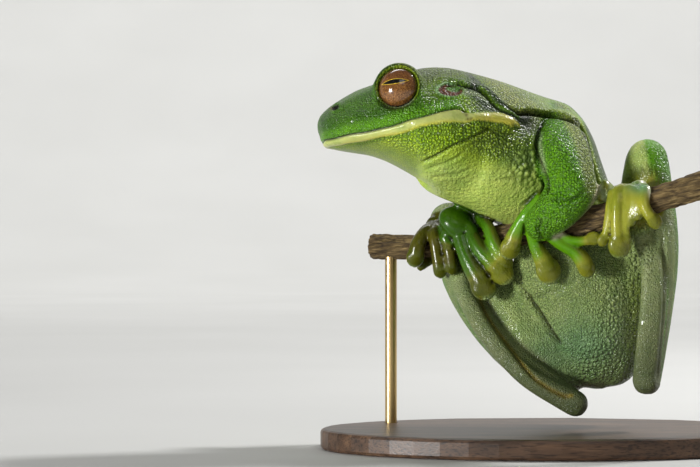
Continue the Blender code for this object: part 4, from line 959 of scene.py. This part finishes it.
# Behind the eardrum a pale patch is painted as sheen.
sheen_patch = nearest_on_line(seen, ((35.0, 3.3), (37.5, 2.7), (39.4, 1.8), (40.9, 0.3)))[0]
colour = blended(colour, PALE_RIM, 0.7 * bell(sheen_patch, 0.6) * drum_side)
ridge_edge = nearest_on_line(seen, FOLD_GROOVE[18:] + (0.25, 0.55))[0]
colour = blended(colour, (0.19, 0.40, 0.004), 0.9 * bell(ridge_edge, 0.4) * drum_side)
# The groove under the fold is painted black as shade.
colour = blended(colour, BLACK, 0.8 * bell(groove_far, 0.26) * drum_side)

# The side of the face and the front of the snout are a deeper green than the upper lip.
deep_face = (
    np.maximum(patch(-42.0, 79.0, 6.5, 3.2), patch(-55.0, 77.5, 4.0, 5.0)) * ramp_up(above_mouth, 1.5, 3.5)
)
colour = blended(colour, colour * (0.5, 0.62, 0.25), deep_face)

# Eardrum: a brown crescent low and in front, a green centre and a pale rim.
rim = bell(in_drum - 1.12, 0.12) * ramp_up(-along_drum, -1.6, 0.3)
colour = blended(colour, PALE_RIM * (0.7, 1.0, 0.9), 0.9 * rim * drum_side)
colour = blended(colour, DRUM_BROWN, ramp_up(1.02 - in_drum, 0, 0.12) * drum_side)
green_centre = np.hypot((along_drum - 0.75) / 1.9, (across_drum - 0.55) / 0.95)
colour = blended(colour, DRUM_GREEN, ramp_up(1.1 - green_centre, 0, 0.35) * drum_side * (in_drum < 1.1))

# Nostril: painted black inside as the shade of its opening, with a pinkish rim in front.
nostril_rim = bell(np.hypot(back - 4.5, up - 7.1), 0.45) * nostril_side
colour = blended(colour, (0.26, 0.17, 0.08), 0.8 * nostril_rim)
colour = blended(colour, BLACK, ramp_up(0.95 - from_nostril, 0, 0.25) * nostril_side)

# Lip band, yellow along its lower edge, and the swelling behind the corner of the mouth.
band = on_lip * ramp_up(1.2 - above_mouth, 0, 0.1)
colour = blended(colour, LIP_WHITE, band)
colour = blended(colour, LIP_YELLOW, 0.8 * bell(above_edge - 0.15, 0.5) * band * ramp_up(back, 2, 6))
colour = blended(colour, LIP_YELLOW * (1, 0.88, 1.6), 0.6 * ramp_up(back, 34, 42) * band)
mouth_dark = bell(above_mouth + 0.02, 0.17) * near_mouth * ramp_up(34.6 - back, 0, 1.5)
colour = blended(colour, (0.008, 0.016, 0.018), 0.95 * mouth_dark)
# Just below the white band's lower edge the skin is painted darker green as the shade under the band.
lip_shadow = bell(above_edge + 0.35, 0.35) * near_mouth * ramp_up(back, 4, 10)
colour = blended(colour, DARK_GREEN * 2.2, 0.7 * lip_shadow)

# Eyelid rims are yellow-green, and the skin under the eyeball is painted black as the shade between lid and
# ball.
for side in (np.ones(3), MIRRORED):
    offset = head * side - EYE_PLACE
    out = offset @ EYE_AXIS
    spread = np.linalg.norm(offset - out[:, None] * EYE_AXIS, axis=1)
    close = (out > 0) & (np.linalg.norm(offset, axis=1) < 8)
    colour = blended(colour, (0.24, 0.33, 0.01), 0.8 * bell(spread - LID_OPENING - 0.22, 0.25) * close)
    colour = blended(colour, BLACK, 0.7 * bell(spread - LID_OPENING - 0.62, 0.18) * close)
    low_rim = bell(spread - LID_OPENING - 0.12, 0.14) * ramp_up(-offset[:, 2], 2.6, 4.0)
    colour = blended(colour, (0.50, 0.55, 0.52), 0.8 * low_rim * close)
    colour = blended(colour, BLACK, ramp_up(LID_OPENING - 0.02 - spread, 0, 0.1) * close)

for speck_x, speck_z in (
    (-21.9, 81.4), (-20.9, 79.6), (-20.1, 79.7), (-22.2, 78.2), (-20.5, 78.2), (-21.2, 80.6)
):
    colour = blended(
        colour, (0.05, 0.02, 0.01), 0.85 * bell(np.hypot(x - speck_x, z - speck_z), 0.4) * to_viewer
    )
lobe = nearest_on_line(seen, ((38.5, -5.6), (41.5, -6.6), (44.5, -7.9)))[0]
colour = blended(colour, (0.24, 0.36, 0.012), 0.8 * bell(lobe, 0.6) * drum_side)

# Limbs: green on the outer side, pale within. Each name gives the direction of its green side and where,
# across the limb, the green begins.
GREEN_SIDES = {
    "upper_arm_left": ((-0.9, -0.4, 0.1), -1.6),
    "forearm_left": ((-0.3, -0.9, 0.2), -1.0),
    "upper_arm_right": ((-0.5, 0.8, 0.3), -0.6),
    "forearm_right": ((-0.6, 0.6, 0.5), -0.4),
    "thigh_left": ((0.75, 0.65, 0.1), 0.25),
    "shank_left": ((0.75, 0.65, 0.2), 0.30),
    "tarsus_left": ((0.3, 0.95, 0.0), 0.4),
    "thigh_right": ((-0.55, 0.83, 0.0), 0.2),
    "shank_right": ((-0.6, 0.8, 0.1), 0.35),
    "tarsus_right": ((-0.3, 0.95, 0.0), 0.4),
}
closest = np.full(len(places), np.inf)
limb_green = np.zeros(len(places))
on_arm = np.zeros(len(places))
on_thigh = np.zeros(len(places))
for name, rows in LIMBS.items():
    away, along, spot = nearest_on_line(places, rows)
    direction, start = GREEN_SIDES[name]
    girth = np.interp(along, range(len(rows)), np.array(rows)[:, 3])
    towards = ((places - spot) @ unit(np.array(direction))) / girth
    closer = away < closest
    limb_green = np.where(closer, ramp_up(towards, start - 0.18, start + 0.18), limb_green)
    on_arm = np.where(closer, name.endswith("arm_left"), on_arm)
    on_thigh = np.where(closer, name.startswith("thigh"), on_thigh)
    closest = np.where(closer, away, closest)
limb_green, on_arm, on_thigh = spread_out(np.stack((limb_green, on_arm, on_thigh), axis=1), pairs, 4).T
on_limb = 1 - ramp_up(closest, 0.4, 1.6)
limb_colour = blended(np.tile(PALE_LEG, (len(places), 1)), BRIGHT_GREEN, limb_green)
# The rear of the upper arm is painted greyer as sheen of the light from behind, and both legs' lower lengths
# carry fine lengthwise lines.
arm_sheen = ramp_up(
    x - np.interp(z, (60, 65, 73, 82), (7.4, 6.4, 4.6, 1.2)), -0.6, 1.4
) * on_arm * ramp_up(z, 59, 64)
limb_colour = blended(limb_colour, SHEEN_GREY * 0.9, 0.85 * arm_sheen * to_viewer)
pale_edge = bell(
    x - np.interp(z, (66, 70, 74, 78), (-2.0, -2.7, -3.2, -2.6)), 0.5
) * on_arm * ramp_up(z, 66, 68)
limb_colour = blended(limb_colour, (0.34, 0.45, 0.22), 0.8 * pale_edge * ramp_up(78 - z, 0, 3))
knee = ramp_up(z, 57, 61) * ramp_up(x, 16, 18)
# The pale sides of the legs are painted darker towards the bottom as shade, where the light falls off.
limb_colour = limb_colour * (1 - 0.72 * (1 - ramp_up(z, 2, 66)) * (1 - limb_green))[:, None]
limb_colour = blended(limb_colour, (0.40, 0.50, 0.13), 0.85 * knee * (1 - limb_green))
limb_colour = blended(limb_colour, BRIGHT_GREEN, knee * ramp_up(x - 23.6 - 0.12 * (66 - z), -0.8, 0.5))
# Only the rim of the thighs' inner side shows as a limb: there they look like the belly.
inner_thigh = on_thigh * (1 - limb_green) * to_viewer
colour = blended(colour, limb_colour, on_limb * (1 - 0.8 * inner_thigh))
line_far = nearest_on_line(seen_flat, curve_through(VIEW_FOLDS[5][0], 6))[0]
colour = blended(colour, LINE_BROWN, 0.85 * bell(line_far, 0.5) * to_viewer)
for shift, tone in ((0.0, PALE_LEG * 1.5), (-2.3, PALE_LEG * 0.55)):
    strip_line = x - shift - np.interp(z, (12, 28, 36, 46, 58), (27.3, 28.2, 28.8, 29.0, 28.6))
    colour = blended(colour, tone, 0.6 * bell(strip_line, 0.35) * on_limb * ramp_up(56 - z, 0, 3) * to_viewer)
# Beside the arm the cape narrows to a dark, smooth strip with a yellow-green edge.
strip = ramp_up(over_edge, -0.1, 0.3) * ramp_up(80.5 - z, 0, 2.5) * ramp_up(x, 5.5, 7) * ramp_up(15 - x, 0, 1)
strip = strip * ramp_up(z, 62, 64)
colour = blended(colour, (0.06, 0.12, 0.004), 0.95 * strip)
colour = blended(colour, (0.30, 0.42, 0.03), 0.85 * at_cape * bell(over_edge - 0.25, 0.3))
# Under the top of the knee a dark band is painted as the shadow cast by the foot.
knee_shadow_far = nearest_on_line(seen_flat, ((16.8, 64.2), (20.5, 67.4), (24.5, 67.6), (27.6, 65.2)))[0]
colour = blended(colour, (0.05, 0.045, 0.006), 0.75 * bell(knee_shadow_far, 1.1) * on_limb * to_viewer)
# A white fringe edges the left arm from the cape to the wrist.
FRINGE = (
    (10.0, 69.0), (10.8, 65.6), (10.3, 63.0), (9.1, 59.8), (8.1, 57.6), (5.7, 54.9), (3.2, 52.9), (0.3, 51.6),
)
fringe_far = nearest_on_line(seen_flat, curve_through(FRINGE, 5))[0]
fringe = bell(fringe_far, 0.6) * on_arm * ramp_up(-y, 0, 3)

# Fingers and toes: the fingers' left sides are green, the rest is olive to yellow, and the discs are
# translucent olive. Their right sides, turned from the key light, are painted darker olive and brown as shade.
digit_far = np.full(len(places), np.inf)
digit_along = np.zeros(len(places))
digit_left = np.zeros(len(places))
on_hand = np.zeros(len(places))
for name, ((centre, half, direction), digits) in EXTREMITIES.items():
    for rows, disc_radius in digits:
        away, along, spot = nearest_on_line(places, rows)
        tip = np.linalg.norm(places - rows[-1][:3], axis=1) - disc_radius
        at_disc = tip < away
        away = np.minimum(away, tip)
        closer = away < digit_far
        digit_far = np.where(closer, away, digit_far)
        digit_along = np.where(closer, along / (len(rows) - 1) + at_disc * 0.25, digit_along)
        digit_left = np.where(closer, (places - spot) @ np.array((-0.8, 0, -0.6)), digit_left)
        on_hand = np.where(closer, name.startswith("hand"), on_hand)
    palm_far = np.linalg.norm(places - centre, axis=1) - max(half)
    close = palm_far < np.minimum(digit_far, 1.0)
    digit_far = np.where(close, palm_far, digit_far)
    digit_along = np.where(close, 0, digit_along)
    digit_left = np.where(close, 2, digit_left)
    on_hand = np.where(close, name.startswith("hand"), on_hand)
digit_along, digit_left = spread_out(np.stack((digit_along, digit_left), axis=1), pairs, 6).T
finger = blended(
    np.tile(BRIGHT_GREEN * 0.85, (len(places), 1)), OLIVE * 0.6, 0.9 * ramp_up(-digit_left, -0.1, 0.7)
)
finger = blended(finger, finger * 0.7, 0.8 * ramp_up(0.3 - digit_along, 0, 0.2) * ramp_up(-x, 10, 14))
finger = blended(finger, TOE_YELLOW * 0.8, ramp_up(digit_along, 0.45, 1.0))
toe = blended(np.tile(OLIVE * 1.3, (len(places), 1)), TOE_YELLOW, ramp_up(digit_along, 0.2, 0.6))
toe = blended(toe, TOE_BROWN, 0.5 * ramp_up(-digit_left, 0.1, 0.8))
toe = blended(toe, toe * (0.55, 0.48, 0.4), ramp_up(-x, 12, 16))
digit_colour = blended(blended(toe, finger, on_hand), OLIVE, ramp_up(digit_along, 0.98, 1.15))
digit_colour = blended(digit_colour, digit_colour * (0.42, 0.45, 0.3), ramp_up(-x, 12, 18))
in_digits = 1 - ramp_up(digit_far, 0.3, 1.2)
colour = blended(colour, digit_colour, in_digits)
first_toe = np.linalg.norm(places - EXTREMITIES["foot_left"][1][0][0][-1][:3], axis=1)
sole_shade = bell(np.hypot((x - 20.3) / 3.2, (z - 63.6) / 1.6), 1.0) * ramp_up(-y, 8, 11)
colour = blended(colour, (0.10, 0.26, 0.13), 0.8 * sole_shade * in_digits)

# Creases, folds, the foot of the cape's edge and the hollow by the arm are painted darker as shade, with more
# pigment.
shade = np.clip(crease * (0.25 + 0.75 * at_digits) + fold_shade + cape_shade, 0, 1)
colour = blended(colour, colour * np.array((0.20, 0.18, 0.12)), shade)
colour = blended(colour, colour * 0.3, in_hollow)
# The first toe's pale ball, the fringe of the arm and the pale edge of the web catch the light.
colour = blended(colour, (0.36, 0.44, 0.21), 0.95 * ramp_up(2.75 - first_toe, 0, 0.5))
colour = blended(colour, (0.60, 0.58, 0.42), 0.95 * fringe)
WEB_EDGE = ((20.6, 65.0), (23.2, 64.6), (25.2, 63.7))
web_far = np.minimum(
    nearest_on_line(seen_flat, WEB_EDGE)[0],
    nearest_on_line(seen_flat, ((22.0, 63.6), (22.3, 61.0), (23.2, 58.0)))[0],
)
colour = blended(colour, (0.55, 0.56, 0.42), 0.8 * bell(web_far, 0.4) * in_digits * ramp_up(-y, 8, 11))

# Granules: how strongly fine, middling, coarse and cobbled ones stand out, and how strongly their gaps are
# painted dark as shade and their tops light as highlight.
muzzle = ramp_up(24 - back, 0, 8) * in_face
flank = (
    on_trunk * (1 - ramp_up(-front, -0.1, 0.2)) * (1 - on_limb * (1 - inner_thigh)) * ramp_up(62 - z, 0, 8)
)
rightward = x - 0.45 * (z - 30)
chest = (1 - in_face) * (1 - on_trunk) * (1 - is_upper) * (1 - on_limb)
dark_patch = patch(-12.5, 75.0, 8.5, 5.0)
cobbles = 1.2 * patch(-4.5, 68.5, 5.0, 4.5) * chest
calm = np.clip(chest_low + 0.8 * below_crease, 0, 1) * (1 - dark_patch)
fine = 0.30 + 0.45 * muzzle * is_upper + 0.25 * on_limb + 0.5 * flank
middling = (
    is_upper * (1 - 0.6 * muzzle) + 0.95 * (1 - is_upper) * ramp_up(lift, -0.85, -0.5)
    * ramp_up(50 - back, 0, 6)
)
middling = np.maximum(middling, dark_patch) * (1 - 0.85 * calm) + 0.6 * flank * bell(rightward - 8, 5)
middling = middling * (1 - on_limb) + on_limb * (0.05 + 0.9 * np.maximum(limb_green, on_arm))
wet_patch = patch(21.0, 46.7, 2.2, 6.0)
coarse_grain = flank * ramp_up(rightward, 6, 15) + 0.2 * dark_patch + 0.25 * calm + 0.9 * wet_patch
coarse_grain = coarse_grain * (1 - np.clip(cobbles, 0, 1))
middling = middling * (1 - 0.7 * np.maximum(in_hollow, under_cape * ramp_up(x, -16, -12))) * (1 - 0.8 * strip)
fine = fine * (1 - 0.7 * np.clip(cobbles, 0, 1))
smooth_skin = np.clip(band + in_digits, 0, 1) * (1 - wet_patch)
grains = np.stack((fine, middling, coarse_grain, cobbles), axis=1) * (1 - 0.9 * smooth_skin)[:, None]
granule_shading = (0.75 - 0.2 * in_face) * is_upper + 0.95 * dark_patch + 0.6 * flank + 0.8 * np.clip(cobbles, 0, 1)
granule_shading = granule_shading + 0.75 * (1 - is_upper) * (1 - on_trunk) * (1 - calm)
granule_shading = np.maximum(granule_shading * (1 - on_limb), on_limb * 0.8 * np.maximum(limb_green, on_arm))
granule_shading = np.clip(granule_shading, 0, 1) * (1 - smooth_skin)


def keep_colour(mesh, name, values):
    """Stores a colour, or up to four numbers, at every point of a mesh."""
    layer = mesh.color_attributes.new(name, "FLOAT_COLOR", "POINT")
    rows = np.ones((len(values), 4))
    rows[:, : values.shape[1]] = values
    layer.data.foreach_set("color", rows.ravel())


keep_colour(fused, "skin_colour", colour)
keep_colour(fused, "granules", grains)
keep_colour(fused, "skin_state", np.stack((granule_shading, smooth_skin, 0 * granule_shading), axis=1))

hide, tree, shader = fresh_material("moist frog skin", 0.4)
where = add_node(tree, "TexCoord", {}).outputs["Object"]
base = add_node(tree, "Attribute", {}, attribute_name="skin_colour").outputs["Color"]
granules = add_node(tree, "Attribute", {}, attribute_name="granules")
strengths = add_node(tree, "SeparateColor", {"Color": granules.outputs["Color"]})
strengths = [strengths.outputs[channel] for channel in ("Red", "Green", "Blue")] + [granules.outputs["Alpha"]]
state = add_node(tree, "Attribute", {}, attribute_name="skin_state").outputs["Color"]
state = add_node(tree, "SeparateColor", {"Color": state}).outputs
warp = add_node(tree, "TexNoise", {"Vector": where, "Scale": 900.0, "Detail": 2.0})
shifted = add_node(
    tree, "VectorMath", {0: warp.outputs["Color"], 1: (0.00012, 0.00012, 0.00012)}, operation="MULTIPLY"
)
warped = add_node(
    tree, "VectorMath", {0: where, 1: shifted.outputs["Vector"]}, operation="ADD"
).outputs["Vector"]


def maths(operation, first, second):
    """One sum of two numbers or sockets in the material's node tree."""
    return add_node(tree, "Math", {0: first, 1: second}, operation=operation).outputs["Value"]


total, crowns = None, None
for size, strength in zip((0.46, 0.66, 1.0, 1.7), strengths):
    cells = add_node(tree, "TexVoronoi", {"Vector": warped, "Scale": 1 / (size * MM), "Randomness": 0.75})
    dome = add_node(
        tree,
        "MapRange",
        {
            "Value": cells.outputs["Distance"], "From Min": 0.12, "From Max": 0.72, "To Min": 1.0,
            "To Max": 0.0,
        },
        interpolation_type="SMOOTHSTEP",
    )
    raised = maths("MULTIPLY", dome.outputs["Result"], strength)
    height = maths("MULTIPLY", raised, size)
    total = height if total is None else maths("ADD", total, height)
    crowns = raised if crowns is None else maths("MAXIMUM", crowns, raised)
relief = add_node(tree, "Bump", {"Height": total, "Strength": 1.0, "Distance": 0.0006})
tree.links.new(relief.outputs["Normal"], shader.inputs["Normal"])
tree.links.new(relief.outputs["Normal"], shader.inputs["Coat Normal"])
# Paint darkens the gaps between granules as shade and lightens their tops as highlight.
valley = add_node(
    tree, "MapRange", {"Value": crowns, "From Min": 0.05, "From Max": 0.55, "To Min": 1.0, "To Max": 0.0}
)
groove = maths("MULTIPLY", valley.outputs["Result"], state["Red"])
peak_highlight = add_node(tree, "MapRange", {"Value": crowns, "From Min": 0.5, "From Max": 0.95})
peak_highlight = maths("MULTIPLY", peak_highlight.outputs["Result"], state["Red"])
darker = mixed(tree, 1.0, base, (0.22, 0.26, 0.20), "MULTIPLY")
lighter = mixed(tree, 1.0, base, (1.55, 1.38, 1.7), "MULTIPLY")
painted_granule_light = mixed(tree, groove, mixed(tree, peak_highlight, base, lighter), darker)
clouds = add_node(tree, "TexNoise", {"Vector": where, "Scale": 260.0, "Detail": 5.0, "Roughness": 0.6})
tint = colour_ramp(tree, clouds.outputs["Fac"], ((0.35, (0.80, 0.86, 0.76)), (0.65, (1.14, 1.08, 1.05))))
tree.links.new(mixed(tree, 1.0, painted_granule_light, tint, "MULTIPLY"), shader.inputs["Base Color"])
film = add_node(
    tree, "MapRange",
    {"Value": clouds.outputs["Fac"], "From Min": 0.3, "From Max": 0.7, "To Min": 0.34, "To Max": 0.5},
)
wet = maths("MULTIPLY", state["Green"], -0.12)
tree.links.new(maths("ADD", film.outputs["Result"], wet), shader.inputs["Roughness"])
shader.inputs["Specular IOR Level"].default_value = 0.2
shader.inputs["Coat Weight"].default_value = 0.35
shader.inputs["Coat Roughness"].default_value = 0.13
shader.inputs["Subsurface Weight"].default_value = 0.08
shader.inputs["Subsurface Radius"].default_value = (1.0, 0.9, 0.2)
shader.inputs["Subsurface Scale"].default_value = 0.0008

fused.shade_smooth()
fused.materials.clear()
fused.materials.append(hide)
fused.name = "skin"
skin = bpy.data.objects.new("skin", fused)
bpy.context.scene.collection.objects.link(skin)
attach(skin, "root")
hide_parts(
    "head", "lower_jaw", "chest", "belly", "eardrum_left", "eardrum_right", *LIMBS, *EXTREMITIES
)


# The eyes are wet balls with a copper iris, netted with fine dark lines, and a level slit pupil with a
# yellow edge. Each sits in its socket, held by the lids.

PUPIL_LENGTH = 6.2
PUPIL_HEIGHT = 1.05
PUPIL_PLACE = (0.2, 0.75)
PUPIL_TILT = math.radians(-9)

iris, tree, shader = fresh_material("eye", 0.12)
place = add_node(tree, "Attribute", {}, attribute_name="eye_place").outputs["Vector"]
turned = add_node(tree, "Mapping", {"Vector": place, "Location": (-PUPIL_PLACE[0], -PUPIL_PLACE[1], 0)})
turned = add_node(tree, "Mapping", {"Vector": turned.outputs["Vector"], "Rotation": (0, 0, PUPIL_TILT)})
slit = add_node(tree, "SeparateXYZ", {"Vector": turned.outputs["Vector"]})
share = add_node(tree, "Math", {0: slit.outputs["X"], 1: PUPIL_LENGTH / 2}, operation="DIVIDE")
square = add_node(tree, "Math", {0: share.outputs["Value"], 1: share.outputs["Value"]}, operation="MULTIPLY")
width = add_node(tree, "Math", {0: 1.0, 1: square.outputs["Value"]}, operation="SUBTRACT")
half = add_node(tree, "Math", {0: width.outputs["Value"], 1: PUPIL_HEIGHT / 2}, operation="MULTIPLY")
level = add_node(tree, "Math", {0: slit.outputs["Y"]}, operation="ABSOLUTE")
edge = add_node(
    tree, "Math", {0: level.outputs["Value"], 1: half.outputs["Value"]}, operation="SUBTRACT"
).outputs["Value"]
radial = add_node(tree, "VectorMath", {0: place, 1: (1, 1, 0)}, operation="MULTIPLY")
radial = add_node(tree, "VectorMath", {0: radial.outputs["Vector"]}, operation="LENGTH").outputs["Value"]
flecks = add_node(tree, "TexNoise", {"Vector": place, "Scale": 2.6, "Detail": 8.0, "Roughness": 0.72})
shifted = add_node(
    tree, "VectorMath", {0: place, 1: flecks.outputs["Color"]}, operation="ADD"
).outputs["Vector"]
net = add_node(tree, "TexVoronoi", {"Vector": shifted, "Scale": 1.9}, feature="DISTANCE_TO_EDGE")
copper = colour_ramp(
    tree, flecks.outputs["Fac"],
    ((0.32, (0.075, 0.024, 0.005)), (0.5, (0.23, 0.095, 0.022)), (0.68, (0.42, 0.21, 0.06)))
)
lines = colour_ramp(tree, net.outputs["Distance"], ((0.0, (0.10, 0.07, 0.04)), (0.10, (1, 1, 1))))
netted = mixed(tree, 0.9, copper, lines, "MULTIPLY")
# The iris is painted darker towards the top as the shade of the upper lid.
rise = add_node(tree, "SeparateXYZ", {"Vector": place}).outputs["Y"]
shade = add_node(
    tree, "MapRange", {"Value": rise, "From Min": -1.0, "From Max": 4.4, "To Min": 0.0, "To Max": 0.8}
)
shaded = mixed(tree, shade.outputs["Result"], netted, (0.10, 0.030, 0.010))
rim = add_node(tree, "MapRange", {"Value": radial, "From Min": 3.9, "From Max": 4.7}).outputs["Result"]
border = colour_ramp(tree, rim, ((0.0, (1, 1, 1)), (0.75, (0.55, 0.45, 0.4)), (1.0, (0.05, 0.04, 0.04))))
bordered = mixed(tree, 1.0, shaded, border, "MULTIPLY")
yellow = add_node(tree, "MapRange", {"Value": edge, "From Min": 0.20, "From Max": 0.12})
rimmed = mixed(tree, yellow.outputs["Result"], bordered, (0.62, 0.42, 0.03))
black = add_node(tree, "MapRange", {"Value": edge, "From Min": 0.06, "From Max": 0.0})
finished = mixed(tree, black.outputs["Result"], rimmed, (0.002, 0.002, 0.002))
tree.links.new(finished, shader.inputs["Base Color"])
shader.inputs["Coat Weight"].default_value = 1.0
shader.inputs["Coat Roughness"].default_value = 0.02
shader.inputs["Coat IOR"].default_value = 1.4

for name, side in (("eye_left", np.ones(3)), ("eye_right", MIRRORED)):
    looking = (EYE_AXIS * side) @ HEAD_AXES
    ahead = unit(-HEAD_BACK + (HEAD_BACK @ looking) * looking)
    above = unit(HEAD_UP - (HEAD_UP @ looking) * looking)
    centre = from_head(EYE_PLACE * side)
    points, faces = closed_skin(
        *(lambda rise, turn: (
            np.stack((np.sin(rise) * np.cos(turn), np.sin(rise) * np.sin(turn), np.cos(rise) + 0 * turn), -1),
            (0, 0, 1),
            (0, 0, -1),
        ))(np.linspace(0, math.pi, 49)[1:-1, None], np.linspace(0, 2 * math.pi, 72, endpoint=False))
    )
    points = points * EYE_RADIUS
    world = centre + points @ np.array((ahead, above, looking))
    ball = new_piece(name + "_ball", world * MM, faces, iris, "eye", name)
    layer = ball.data.attributes.new("eye_place", "FLOAT_VECTOR", "POINT")
    layer.data.foreach_set("vector", points.ravel())


# The studio: a plain pale floor that curves up into a backdrop, a camera at the photo's angle, and soft
# lights.

turn = np.linspace(0, 2 * math.pi, 96, endpoint=False)
profile = [(radius, 0.0) for radius in (0.15, 0.5, 1.0, 1.6)]
profile += [
    (1.6 + 1.2 * math.sin(a), 1.2 * (1 - math.cos(a))) for a in np.radians((10, 20, 30, 45, 60, 75, 90))
]
profile.append((2.8, 2.4))
rings = np.array([[(r * math.cos(a), r * math.sin(a), h) for a in turn] for r, h in profile])
points = np.vstack((rings.reshape(-1, 3), (0, 0, 0)))
index = np.arange(len(profile) * 96).reshape(len(profile), 96)
beside = np.roll(index, -1, axis=1)
faces = np.stack((index[:-1], index[1:], beside[1:], beside[:-1]), axis=-1).reshape(-1, 4).tolist()
faces += np.stack((np.full(96, len(points) - 1), index[0], beside[0]), axis=-1).tolist()
floor_mesh = bpy.data.meshes.new("studio_floor")
floor_mesh.from_pydata(points, [], faces)
floor_mesh.shade_smooth()
paper, tree, shader = fresh_material("pale paper", 0.85)
mottle = add_node(tree, "TexNoise", {"Vector": object_places(tree, (6, 6, 6)), "Scale": 1.0, "Detail": 2.0})
pale = colour_ramp(tree, mottle.outputs["Fac"], ((0.3, (0.56, 0.56, 0.545)), (0.7, (0.59, 0.59, 0.575))))
tree.links.new(pale, shader.inputs["Base Color"])
floor_mesh.materials.append(paper)
studio_floor = bpy.data.objects.new("studio_floor", floor_mesh)
bpy.context.scene.collection.objects.link(studio_floor)

lens = bpy.data.cameras.new("camera")
lens.sensor_width = 36
lens.lens = 126.46
camera = bpy.data.objects.new("camera", lens)
camera.location = (-0.0488, -0.6, 0.0525)
camera.rotation_euler = (math.radians(90), 0, 0)
bpy.context.scene.collection.objects.link(camera)
bpy.context.scene.camera = camera


def soft_light(name, place, aim, size, power, tint=(1, 1, 1)):
    """A square area light at a place, turned to face a point."""
    lamp = bpy.data.lights.new(name, "AREA")
    lamp.size = size
    lamp.energy = power
    lamp.color = tint
    holder = bpy.data.objects.new(name, lamp)
    holder.location = place
    away = np.array(place) - np.array(aim)
    spin = math.atan2(away[0], -away[1])
    holder.rotation_euler = (math.acos(away[2] / np.linalg.norm(away)), 0, spin)
    bpy.context.scene.collection.objects.link(holder)


HEART = (-0.01, 0.0, 0.055)
soft_light("key", (-0.43, -0.34, 0.045), HEART, 0.11, 3.3)
soft_light("rim", (0.427, 0.223, 0.56), HEART, 0.10, 5.0)
soft_light("fill", (0.15, -0.9, 0.75), HEART, 0.5, 1.1)
soft_light("backdrop", (0.0, 1.2, 1.9), (0.0, 2.6, 0.6), 1.6, 50.0)
world = bpy.data.worlds.new("studio")
world.use_nodes = True
world.node_tree.nodes["Background"].inputs["Color"].default_value = (1.0, 0.98, 0.94, 1)
world.node_tree.nodes["Background"].inputs["Strength"].default_value = 0.11
bpy.context.scene.world = world
bpy.context.scene.view_settings.view_transform = "Standard"
